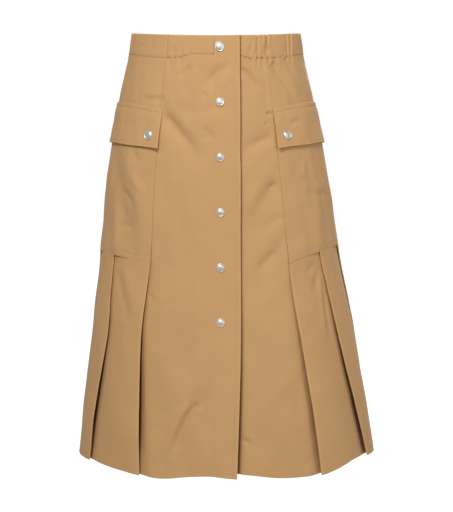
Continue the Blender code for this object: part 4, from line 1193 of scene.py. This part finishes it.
stitch_lines = np.array([s + beside for s in POCKET_STITCHES for beside in BESIDE_STITCH])
pocket_columns = side_columns(0.0028, lines=stitch_lines)
for label, side in (("right", RIGHT), ("left", LEFT)):
    share = ordered(side, pocket_columns)[None, :]
    rough = side_angle(side, FLAP_TOP, share)
    top = arched(rough, FLAP_TOP - POCKET_TOP_UNDER_FLAP, FLAP_RISE)
    down = steps(POCKET_HEIGHT, 0.0, 0.0028, lines=[POCKET_HEIGHT - s for s in POCKET_STITCHES])
    row = down[:, None] / POCKET_HEIGHT
    z = top + (pocket_bottom(rough) - top) * row
    angle = side_angle(side, z, share)
    swell = POCKET_BULGE * np.sin(math.pi * share) * np.sin(math.pi * row) ** 2
    foot = (2 * LAYER - POCKET_OUT) * blend(row, 0.75, 1.0)
    out = cloth_height(angle, z) + POCKET_OUT + swell + foot
    from_front, from_rear = share * SIDE_LENGTH, (1.0 - share) * SIDE_LENGTH
    from_foot = (1.0 - row) * POCKET_HEIGHT
    for stitched in POCKET_STITCHES:
        out = out + dip(from_front - stitched) * (from_foot > stitched) + dip(from_rear - stitched)
        out = out + dip(from_foot - stitched) * (from_front > stitched)
    out = out + pucker(from_front - 0.005, z) + pucker(from_foot - 0.005, share * SIDE_LENGTH)
    edge_in = np.minimum(from_front, np.minimum(from_rear, from_foot))
    out = out + dip(edge_in, 0.0002, 0.0006) + dip(from_front, 0.00035, 0.0040)
    places = tube(angle, z, out)
    pocket = lay_cloth(
        f"{label}_patch_pocket", places,
        wall=POCKET_WALL, pressed=hump(edge_in, 0.0009), rim=0.0003,
    )
    facing = outward(places)
    lines = []
    for stitched in POCKET_STITCHES:
        across = nearest(from_foot[:, 0], stitched)
        upwards = [nearest(away[0], stitched) for away in (from_front, from_rear)]
        lines += [(places[across:, column], facing[across:, column]) for column in upwards]
        ends = slice(min(upwards), max(upwards) + 1)
        lines += [(places[across, ends], facing[across, ends])]
    stitches = sew(f"{label}_pocket_stitches", lines, wall=POCKET_WALL)
    finish_cloth(
        pocket, f"{label}_pocket",
    )

# The pocket flaps -------------------------------------------------------------------------
# Two layers turned out and pressed, sewn down along the top and held shut by two snaps. The
# lower edge stands off the pocket, and one row of stitches runs inside the free edges.
FLAP_WALL = 0.0014
FLAP_DEPTH = 0.0640
FLAP_OVERHANG = 0.004
FLAP_OVERHANG_FRONT = (0.0055, 0.0016)   # on the right and on the left
FLAP_CORNER_LIFT = 0.04
FLAP_STEPS = 13
FLAP_STITCH = 0.0042
FLAP_TOP_STITCH = 0.0070
FLAP_FRONT_LIFT = 0.0013     # how far its front edge stands off more
FlapRow = namedtuple("FlapRow", "below out")
FLAP_ROWS = [
    FlapRow(0.000, 0.00170), FlapRow(0.006, 0.00185), FlapRow(0.016, 0.00290),
    FlapRow(0.032, 0.00360), FlapRow(0.048, 0.00480), FlapRow(FLAP_DEPTH, 0.00620),
]


def flap_place(side, below, share):
    """Angle and height of a place on a flap, which is a little wider than the pocket."""
    rough = side_angle(side, FLAP_TOP, share)
    corner = 1.0 - FLAP_CORNER_LIFT * blend(share, 0.3, 0.0)
    z = arched(rough, FLAP_TOP, FLAP_RISE) - below * corner
    at_end = np.maximum(0.0, 1.0 - FLAP_STEPS * np.minimum(share, 1.0 - share))
    overhang = np.where(share > 0.5, FLAP_OVERHANG, -FLAP_OVERHANG_FRONT[side == LEFT])
    return side_angle(side, z, share) + side * degrees_for(overhang, rough, z) * at_end, z


def flap_out(side, below, share):
    """How far a flap's middle stands outside the tube."""
    angle, z = flap_place(side, below, share)
    return cloth_height(angle, z) + along(FLAP_ROWS, below, "out")


stitch_lines = np.array([FLAP_STITCH + beside for beside in BESIDE_STITCH])
flap_columns = side_columns(0.0026, lines=stitch_lines)
across_lines = [FLAP_DEPTH - FLAP_STITCH, FLAP_TOP_STITCH, 0.0015]
flap_below = steps(FLAP_DEPTH, 0.0, 0.0024, lines=across_lines)
for label, side in (("right", RIGHT), ("left", LEFT)):
    share = ordered(side, flap_columns)[None, :]
    below = flap_below[:, None] + 0.0 * share
    angle, z = flap_place(side, below, share)
    from_front, from_rear = share * SIDE_LENGTH, (1.0 - share) * SIDE_LENGTH
    lifted = FLAP_FRONT_LIFT * hump(from_front, 0.009) * blend(below, 0.010, 0.040)
    out = flap_out(side, below, share) + lifted
    from_foot = FLAP_DEPTH - below
    edge_in = np.minimum(from_foot, np.minimum(from_front, from_rear))
    out = out + dip(edge_in - FLAP_STITCH) * (below > FLAP_TOP_STITCH)
    out = out + dip(below - FLAP_TOP_STITCH, 0.0004) + dip(below, 0.0006, 0.0009)
    out = out + pucker(below - FLAP_TOP_STITCH, from_front)
    out = out + pucker(from_foot - FLAP_STITCH, from_front + 0.03)
    places = tube(angle, z, out)
    flap = lay_cloth(
        f"{label}_flap", places, wall=FLAP_WALL, pressed=hump(edge_in, 0.0010), rim=0.0005,
    )
    facing = outward(places)
    columns = [nearest(away[0], FLAP_STITCH) for away in (from_front, from_rear)]
    foot_row = nearest(from_foot[:, 0], FLAP_STITCH)
    top_row = nearest(below[:, 0], FLAP_TOP_STITCH)
    lines = [(places[foot_row:top_row, c], facing[foot_row:top_row, c]) for c in columns]
    ends = slice(min(columns), max(columns) + 1)
    lines += [(places[foot_row, ends], facing[foot_row, ends])]
    lines += [(places[top_row], facing[top_row])]
    stitches = sew(f"{label}_flap_stitches", lines, wall=FLAP_WALL)
    finish_cloth(
        flap, f"{label}_pocket_flap",
    )

# The pleated lower sides ------------------------------------------------------------------
# One wide piece on each side, sewn on under the pocket and laid in three knife pleats whose
# folded edges face the front. Each pleat springs open towards the hem.
REAR_UNDERLAY = 1.32
PLEAT_LIFT = 0.0065
MIDDLE_PLEAT = [
    Edge(-0.334, 60.6, 55.7), Edge(-0.394, 60.6, 57.4), Edge(-0.450, 59.2, 58.5),
    Edge(-0.510, 60.5, 60.3), Edge(-0.560, 62.6, 63.0), Edge(-0.665, 64.7, 69.0),
]
REAR_PLEAT = [
    Edge(-0.334, 89.0, 83.5), Edge(-0.400, 93.0, 89.5), Edge(-0.480, 97.0, 96.5),
    Edge(-0.570, 100.0, 101.0), Edge(-0.665, 102.0, 103.0),
]
PLEATS = [FRONT_PLEAT, MIDDLE_PLEAT, REAR_PLEAT]

# A step across a pleat: its share of the underlay's depth behind the folded edge, how many
# layers lie under it, and its share of the pleat's standing off at the hem
Step = namedtuple("Step", "pleat behind layers stand")
RETURN_STEPS = [(1.0, 1, 0.06), (0.66, 1, 0.36), (0.33, 1, 0.67), (0.0, 1, 1.0)]
FACE_STEPS = [(0.0, 2, 1.0), (0.33, 2, 0.95), (0.7, 2, 0.82), (1.1, 2, 0.66)]
UNDER_STEPS = [(-0.35, 0.5, 0.12), (0.0, 0, 0.0), (0.5, 0, 0.0), (1.0, 0, 0.0)]
HEM_STAND = {RIGHT: (0.30, 0.60, 1.0), LEFT: (1.0, 1.0, 1.0)}   # share of it left at the hem
SETTLES_FROM = -0.590
ARC = (30.0, 60.0, 90.0, 120.0, 150.0)   # degrees of turn round a fold
BEHIND_FOLD = 0.5 * LAYER
METRES_A_DEGREE = 0.0032     # about, round the tube
PLEAT_CELL = 0.0030


def pleat_step(side, step, z):
    """Angle and level of a step at heights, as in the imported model."""
    spread = blend(z, POCKET_BOTTOM, HEM_LEVEL)
    seam = side * (side_seam(z) - degrees_for(SEAM / 2, SIDE_SEAM_ANGLE, z))
    if step.pleat == len(PLEATS):
        underlay = REAR_UNDERLAY * under_pleat(REAR_PLEAT, side, z)
        last = edge_angle(REAR_PLEAT, side, z) + side * underlay
        return last + (seam - last) * step.behind, LAYER * (1.0 - step.behind) + 0.0 * z
    rows = PLEATS[step.pleat]
    angle = edge_angle(rows, side, z) + side * step.behind * under_pleat(rows, side, z)
    settle = 1.0 - (1.0 - HEM_STAND[side][step.pleat]) * blend(z, SETTLES_FROM, HEM_LEVEL)
    return angle, LAYER * step.layers + PLEAT_LIFT * spread * step.stand * settle


def stretch(side, table, z, fold_at_start, fold_at_end):
    """Angles and levels of one flat stretch of a pleat, between two of its folds."""
    controls = [pleat_step(side, step, z) for step in table]
    angles, levels = (np.stack([control[k] for control in controls], axis=-1) for k in (0, 1))
    across = abs(angles[:, -1] - angles[:, 0]).mean()
    count = max(6, round(across * METRES_A_DEGREE / PLEAT_CELL))
    inset = degrees_for(BEHIND_FOLD, angles[:, 0], z)
    way = np.sign(angles[:, -1] - angles[:, 0])
    first = angles[:, 0] + way * inset * fold_at_start
    last = angles[:, -1] - way * inset * fold_at_end
    t = np.linspace(0.0, 1.0, count + 1)
    laid = first[:, None] + (last - first)[:, None] * t
    level = np.stack([through(side * a, b, side * c) for a, b, c in zip(angles, levels, laid)])
    return laid, level


def hairpin(side, start_angle, start_level, end_level, z, way):
    """The rounded fold between two stretches; way is +1 if it bulges to the rear."""
    turns = np.radians(ARC)
    reach = degrees_for(BEHIND_FOLD, start_angle, z)[:, None] * np.sin(turns)
    middle, half = (start_level + end_level) / 2, (end_level - start_level) / 2
    return (
        start_angle[:, None] + side * way * reach,
        middle[:, None] - half[:, None] * np.cos(turns),
    )


def pleat_grid(side, z):
    """Angles, levels and painted fold shade of the whole piece, from the front's seam back."""
    parts = []
    for pleat in range(len(PLEATS)):
        back_way = [Step(pleat, *step) for step in RETURN_STEPS]
        ahead = [Step(pleat, *step) for step in FACE_STEPS]
        if pleat + 1 < len(PLEATS):
            ahead += [Step(pleat + 1, *step) for step in UNDER_STEPS]
        else:
            ahead += [Step(len(PLEATS), share, 0, 0.0) for share in (0.0, 0.5, 1.0)]
        returned = stretch(side, back_way, z, 1.0, 1.0)
        faced = stretch(side, ahead, z, 1.0, float(pleat + 1 < len(PLEATS)))
        # painted shade on each return and under the next pleat's edge; below zero on a return, so
        # that both its faces take it
        _, shade = under_edge(PLEATS[pleat], side, pleat, returned[0], z[:, None])
        returned = (*returned, -shade)
        falls, shade = 0.0, 0.0 * faced[0]
        if pleat + 1 < len(PLEATS):
            falls, shade = under_edge(PLEATS[pleat + 1], side, pleat + 1, faced[0], z[:, None])
        faced = (faced[0], faced[1] - falls, shade)
        if parts:
            before = parts[-1]
            turn = hairpin(side, returned[0][:, 0], before[1][:, -1], returned[1][:, 0], z, 1.0)
            parts.append((*turn, 0.0 * turn[0]))
        parts.append(returned)
        turn = hairpin(side, returned[0][:, -1], returned[1][:, -1], faced[1][:, 0], z, -1.0)
        parts.append((*turn, 0.0 * turn[0]))
        parts.append(faced)
    return tuple(np.concatenate([part[k] for part in parts], axis=1) for k in range(3))


for label, side in (("right", RIGHT), ("left", LEFT)):
    nominal = steps(HEM_LEVEL, POCKET_BOTTOM, PLEAT_CELL, lines=[HEM_LEVEL + TURN_UP])
    angle, level, painted_fold_shade = pleat_grid(side, nominal)
    top = pocket_bottom(angle) - 0.4 * SEAM
    foot = hem(angle)
    share = ((nominal - HEM_LEVEL) / (POCKET_BOTTOM - HEM_LEVEL))[:, None]
    z = foot + (top - foot) * share
    out = level + creased(angle, z, FRONT_CREASES) + drift(angle, z) * 0.6
    places = tube(angle, z, out + hem_seam(z - foot))
    pressed = at_hem(angle, z)
    for rows in PLEATS:
        edge = edge_angle(rows, side, nominal)[:, None]
        away = np.abs(angle - edge) / degrees_for(1.0, edge, nominal[:, None])
        on_top = level > LAYER * 1.2
        pressed = np.maximum(pressed, on_top * hump(away, 0.0018))
    if side == RIGHT:
        places, pressed, painted_fold_shade = places[:, ::-1], pressed[:, ::-1], painted_fold_shade[:, ::-1]
    pleats = lay_cloth(f"{label}_pleats", places, pressed=pressed, inside=painted_fold_shade)
    finish_cloth(pleats, f"{label}_side_pleated")

# The back ---------------------------------------------------------------------------------
# One plain wide panel from side seam to side seam, gathered a little into the elastic of the
# waistband and falling in a few long soft flutes.
BACK_FLAT_EDGE = 0.08
BACK_WIDTH = 0.42
BACK_PULLS = [
    Crease((124.0, -0.060), (131.0, -0.110), (140.0, -0.160), 0.010, -0.0016),
    Crease((236.0, -0.055), (229.0, -0.105), (219.0, -0.150), 0.010, -0.0015),
    Crease((150.0, -0.120), (166.0, -0.150), (182.0, -0.150), 0.012, -0.0014),
    Crease((214.0, -0.135), (203.0, -0.165), (186.0, -0.172), 0.012, -0.0013),
    Crease((118.0, -0.200), (126.0, -0.230), (138.0, -0.245), 0.009, -0.0015),
    Crease((242.0, -0.215), (233.0, -0.240), (224.0, -0.262), 0.009, -0.0014),
    Crease((122.0, -0.300), (130.0, -0.330), (142.0, -0.350), 0.008, -0.0012),
    Crease((238.0, -0.290), (231.0, -0.325), (222.0, -0.340), 0.008, -0.0012),
    Crease((160.0, -0.210), (158.0, -0.300), (162.0, -0.390), 0.014, -0.0016),
    Crease((199.0, -0.230), (202.0, -0.300), (199.0, -0.380), 0.014, -0.0016),
    Crease((168.0, -0.430), (166.0, -0.520), (168.0, -0.620), 0.012, -0.0014),
    Crease((193.0, -0.450), (194.0, -0.530), (191.0, -0.630), 0.012, -0.0014),
]

back_shares = np.concatenate([
    [0.0], SEAM_BESIDE / BACK_WIDTH,
    np.linspace(0.0045 / BACK_WIDTH, 1.0 - 0.0045 / BACK_WIDTH, 136),
    1.0 - SEAM_BESIDE[::-1] / BACK_WIDTH, [1.0],
])
back_levels = steps(HEM_LEVEL, BAND_BOTTOM_GATHERED, 0.0034, lines=[HEM_LEVEL + TURN_UP])
back_rows = panel_rows(back_levels)
share = back_shares[None, :]
rough = SIDE_SEAM_ANGLE + (360.0 - 2 * SIDE_SEAM_ANGLE) * share
level, up = upright(back_rows, "level"), upright(back_rows, "up")
down = (BAND_BOTTOM_GATHERED - level) / (BAND_BOTTOM_GATHERED - HEM_LEVEL)
top = band_bottom(90.0) - SEAM
z = top + (hem(rough) - top) * down + up
start = side_seam(z) + degrees_for(SEAM / 2, SIDE_SEAM_ANGLE, z)
angle = start + (360.0 - 2 * start) * share
from_edge = blend(np.minimum(share, 1.0 - share), 0.0, BACK_FLAT_EDGE)
shared = creased(angle, z, BAND_CREASES) + creased(angle, z, BACK_PULLS) + drift(angle, z)
out = soft_folds(angle, z) * from_edge + shared
away = np.minimum(share, 1.0 - share) * BACK_WIDTH
out = out + dip(away, SEAM_SINK, SEAM_SINK_WIDTH) + pucker(away, z)
out = out + hem_seam(z - hem(angle))
places = tube(angle, z, out - upright(back_rows, "inside"))
back = lay_cloth("back", places, grain=len(back_shares) // 2, pressed=at_hem(angle, z))
finish_cloth(back, "back_panel")

# The waistband ----------------------------------------------------------------------------
# A strip of the twill folded over at the top, in three stretches. The one by the strip is
# almost flat; the others are gathered onto elastic that shows only as upright puckers.
BAND_OUT = 0.0007
BAND_FOLD = 0.0006       # radius of the fold at its top
BAND_STITCH = 0.0012     # above the band's lower edge
BAND_GAP = 0.00008       # between the strip and the end of the band beside it
TOP_PULLED = 0.35        # the share of a fold's depth by which it pulls the top edge down
BAND_ROWS = 17           # on its outer face
BAND_HEIGHT = 0.033
BAND_STITCH_UP = 0.0020
BAND_STEP = 0.55         # degrees from one column to the next


def band_level(angle):
    """Where the underlap's end of the band lies, it is pressed in behind the overlap."""
    edge = angle_at_x(along(PLACKET, 0.0, "x"), 0.0)
    pressed_in = BAND_OUT + UNDERLAP_IN + 0.0004 + SEAM / 2
    return BAND_OUT - pressed_in * blend(angle, edge + 4.0, edge + 0.6)


def flat_band(angle):
    return BAND_OUT + 0.0 * angle


# A row of the band: its share of the height from the bottom, how far it lies inside the
# outer face's middle, and how far above that share it is
BandRow = namedtuple("BandRow", "share inside up")


def band_rows():
    rows = [BandRow(0.0, 2 * BAND_FOLD * (1 - t), 0.0012 * (1 - t) ** 2) for t in (0.0, 0.35, 0.7)]
    rows += [BandRow(share, 0.0, 0.0) for share in np.linspace(0.0, 1.0, BAND_ROWS)]
    for turn in FOLD_TURNS:
        rows.append(BandRow(1.0, BAND_FOLD * (1.0 - math.cos(turn)), BAND_FOLD * math.sin(turn)))
    rows += [BandRow(share, 2 * BAND_FOLD, 0.0) for share in np.linspace(1.0, 0.0, 11)[1:]]
    return rows


def lay_band(name, start, end, level, node, sewn_ends, gap_shade_share=0.0):
    rows = band_rows()
    angle = np.linspace(start, end, round(abs(end - start) / BAND_STEP) + 1)[None, :]
    share, inside, up = (upright(rows, label) for label in BandRow._fields)
    pulled = TOP_PULLED * creased(angle, band_top(angle), BAND_CREASES)
    low, high = band_bottom(angle), band_top(angle) - BAND_FOLD + pulled
    z = low + (high - low) * share + up
    folds = creased(angle, z, BAND_CREASES)
    pinch = 0.65 + 0.35 * blend(share, 0.0, 0.22) * (1.0 - 0.45 * blend(share, 0.80, 1.0))
    out = level(angle) + folds * pinch - inside
    above_seam = (z - low) * (inside == 0.0) + 0.02 * (inside > 0.0)
    crisp = 1.0 - 0.75 * blend(angle, 10.0, 16.0)
    out = out + crisp * dip(above_seam, 0.0007, 0.0010)
    out = out + dip(above_seam - BAND_STITCH, 0.0002, 0.0008)
    out = out + pucker(above_seam, np.radians(angle) * 0.14)
    for end_angle in sewn_ends:
        from_end = np.abs(angle - end_angle) / degrees_for(1.0, end_angle, 0.0)
        out = out + dip(from_end, 0.0006, 0.0012)
    places = tube(angle, z, out)
    pressed = hump(z - band_top(angle), 0.0012)
    # painted shade on the underlap's end of the band, in the gap beside the overlap's strip
    hidden = painted_gap_shade(angle, z) * (np.abs(angle) < PRINCESS_ANGLE) * gap_shade_share
    band = lay_cloth(name, places, pressed=pressed, inside=hidden)
    facing = outward(places)
    row = 3 + nearest(np.linspace(0.0, 1.0, BAND_ROWS) * BAND_HEIGHT, BAND_STITCH_UP)
    stitches = sew(f"{name}_stitches", [(places[row], facing[row])])
    finish_cloth(
        band, node,
    )


strip_angle = min(float(front_angle(RIGHT, z, 1.0)) for z in (BAND_TOP_FRONT, BAND_BOTTOM_FLAT))
strip_angle -= float(degrees_for(BAND_GAP, strip_angle, 0.0))
underlap_end = float(angle_at_x(along(PLACKET, 0.0, "x") - UNDERLAP_WIDTH, 0.0))
right_seam, left_seam = (float(edge_angle(PRINCESS, side, 0.0)) for side in (RIGHT, LEFT))
half_gap = float(degrees_for(SEAM / 2, left_seam, 0.0))
lay_band(
    "right_front_band", right_seam + half_gap, strip_angle, flat_band, "waistband_right_front",
    [right_seam],
)
lay_band(
    "left_front_band", underlap_end, left_seam - half_gap, band_level, "waistband_left_front",
    [left_seam], 1.0,
)
lay_band(
    "back_band", left_seam + half_gap, 360.0 + right_seam - half_gap, flat_band, "waistband_back",
    [left_seam, 360.0 + right_seam],
)

# The snaps --------------------------------------------------------------------------------
# Press snaps of nickelled brass: a domed cap with a rolled rim outside, a post through the
# cloth and a flat washer inside. One is made and the others are copies of it.
SNAP_PITCH = 0.0850
SNAP_FIRST_Z = 0.0026
SNAP_ROWS = 5
SNAP_FROM_EDGE = 0.0305
FRONT_SNAP = 0.0132
BIG_SNAP = 0.0152
FLAP_SNAP_IN = 0.0190
FLAP_SNAP_UP = 0.0210
FEEL = 0.003             # how far the cloth is felt for its slope under a snap
SNAP_SIDES = 36
NICKEL_TONES = (0.74, 0.71, 0.66), (0.90, 0.87, 0.82)

# Outlines as rings: radius as a share of the cap's, height above the cloth
Ring = namedtuple("Ring", "radius height")
RIM_FOOT, RIM_TOP = Ring(1.00, 0.00020), Ring(1.00, 0.00085)
CAP_RINGS = [
    Ring(0.985, 0.00125), Ring(0.945, 0.00155), Ring(0.895, 0.00162), Ring(0.85, 0.00145),
    Ring(0.815, 0.00112), Ring(0.785, 0.00098), Ring(0.755, 0.00110), Ring(0.72, 0.00148),
    Ring(0.65, 0.00188), Ring(0.54, 0.00216), Ring(0.38, 0.00238), Ring(0.20, 0.00250),
    Ring(0.07, 0.00254),
]
WASHER_RINGS = [
    Ring(0.96, 0.00000), Ring(0.30, 0.00000), Ring(0.30, -0.00065), Ring(0.66, -0.00070),
    Ring(0.70, -0.00090), Ring(0.66, -0.00110), Ring(0.40, -0.00125), Ring(0.12, -0.00128),
]


def draw_out(cap, rings, before, up):
    """Draws one end of the cap out ring by ring and closes it."""
    bpy.ops.mesh.select_all(action="DESELECT")
    sheet = bmesh.from_edit_mesh(cap.data)
    for face in sheet.faces:
        face.select = face.normal.z * up > 0.9
    bmesh.update_edit_mesh(cap.data)
    for ring in rings:
        bpy.ops.mesh.extrude_region_move(
            TRANSFORM_OT_translate={"value": (0.0, 0.0, ring.height - before.height)}
        )
        share = ring.radius / before.radius
        bpy.ops.transform.resize(value=(share, share, 1.0), center_override=(0.0, 0.0, ring.height))
        before = ring
    bpy.ops.mesh.merge(type="CENTER")


def one_snap(name, diameter):
    """A short round blank is drawn up into the dome and down into the post and washer."""
    bpy.ops.object.select_all(action="DESELECT")
    bpy.ops.mesh.primitive_cylinder_add(
        vertices=SNAP_SIDES, radius=diameter / 2, depth=RIM_TOP.height - RIM_FOOT.height,
        end_fill_type="NGON", location=(0.0, 0.0, (RIM_TOP.height + RIM_FOOT.height) / 2),
    )
    bpy.ops.object.transform_apply(location=True)
    cap = bpy.context.active_object
    cap.name = cap.data.name = name
    bpy.ops.object.mode_set(mode="EDIT")
    draw_out(cap, CAP_RINGS, RIM_TOP, 1)
    draw_out(cap, WASHER_RINGS, RIM_FOOT, -1)
    bpy.ops.mesh.select_all(action="SELECT")
    bpy.ops.mesh.normals_make_consistent(inside=False)
    bpy.ops.object.mode_set(mode="OBJECT")
    cap.data.shade_smooth()
    return cap


def nickel():
    """Brushed nickel with a tone that varies at random and fine scratches from wear."""
    finish, tree, shader = new_finish("snap_nickel", Metallic=1.0)
    place = add_node(tree, "TexCoord")
    scratches = add_node(tree, "TexNoise", Scale=700.0, Detail=4.0)
    tarnish = add_node(tree, "TexNoise", Scale=160.0)
    tone = colour_ramp(tree, NICKEL_TONES, (0.25, 0.75))
    rough = add_node(tree, "MapRange", To_Min=0.36, To_Max=0.50)
    relief = add_node(tree, "Bump", Strength=0.12, Distance=0.0002)
    wire(
        tree, (place, "Object", scratches, "Vector"), (place, "Object", tarnish, "Vector"),
        (tarnish, "Fac", tone, "Fac"), (tone, "Color", shader, "Base Color"),
        (scratches, "Fac", rough, "Value"), (rough, "Result", shader, "Roughness"),
        (scratches, "Fac", relief, "Height"), (relief, "Normal", shader, "Normal"),
    )
    return finish


NICKEL = nickel()
snap_models = {
    size: one_snap(f"snap_{round(size * 1e4)}", size) for size in (FRONT_SNAP, BIG_SNAP)
}


def set_snap(name, node, size, point_at, wall):
    """A copy of the snap with its own mesh, on the cloth that point_at gives the places of."""
    place, beside, below = (Vector(point_at(*step)) for step in ((0, 0), (FEEL, 0), (0, -FEEL)))
    out = (below - place).cross(beside - place).normalized()
    mesh = snap_models[size].data.copy()
    mesh.name = name
    snap = bpy.data.objects.new(name, mesh)
    bpy.context.scene.collection.objects.link(snap)
    stand = out.to_track_quat("Z", "Y").to_matrix().to_4x4()
    stand.translation = place + out * (wall / 2)
    mesh.transform(stand)
    mesh.materials.append(NICKEL)
    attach(snap, "root")
    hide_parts(node)


def front_point(z):
    def point_at(right, up):
        height = z + up
        angle = angle_at_x(along(PLACKET, z, "x") - SNAP_FROM_EDGE + right, height)
        out = front_level(angle, height, RIGHT) + soft_folds(angle, height) + drift(angle, height)
        return tube(angle, height, out)
    return point_at


def flap_point(side, rear):
    def point_at(right, up):
        below = FLAP_DEPTH - FLAP_SNAP_UP - up
        corner, z = flap_place(side, below, np.array(1.0 if rear else 0.0))
        inward = -side if rear else side
        angle = corner + degrees_for(inward * FLAP_SNAP_IN + right, corner, z)
        return tube(angle, z, cloth_height(angle, z) + along(FLAP_ROWS, below, "out"))
    return point_at


set_snap("waist_snap", "band_snap", BIG_SNAP, front_point(SNAP_FIRST_Z), CLOTH)
for row in range(1, SNAP_ROWS + 1):
    point_at = front_point(SNAP_FIRST_Z - SNAP_PITCH * row)
    set_snap(f"closing_snap_{row}", f"front_snap_{row}", FRONT_SNAP, point_at, CLOTH)
for label, side in (("right", RIGHT), ("left", LEFT)):
    for end, rear in (("front", False), ("rear", True)):
        node = f"{label}_flap_snap_{end}"
        set_snap(f"{label}_flap_{end}_cap", node, BIG_SNAP, flap_point(side, rear), FLAP_WALL)
for model in snap_models.values():
    bpy.data.objects.remove(model, do_unlink=True)
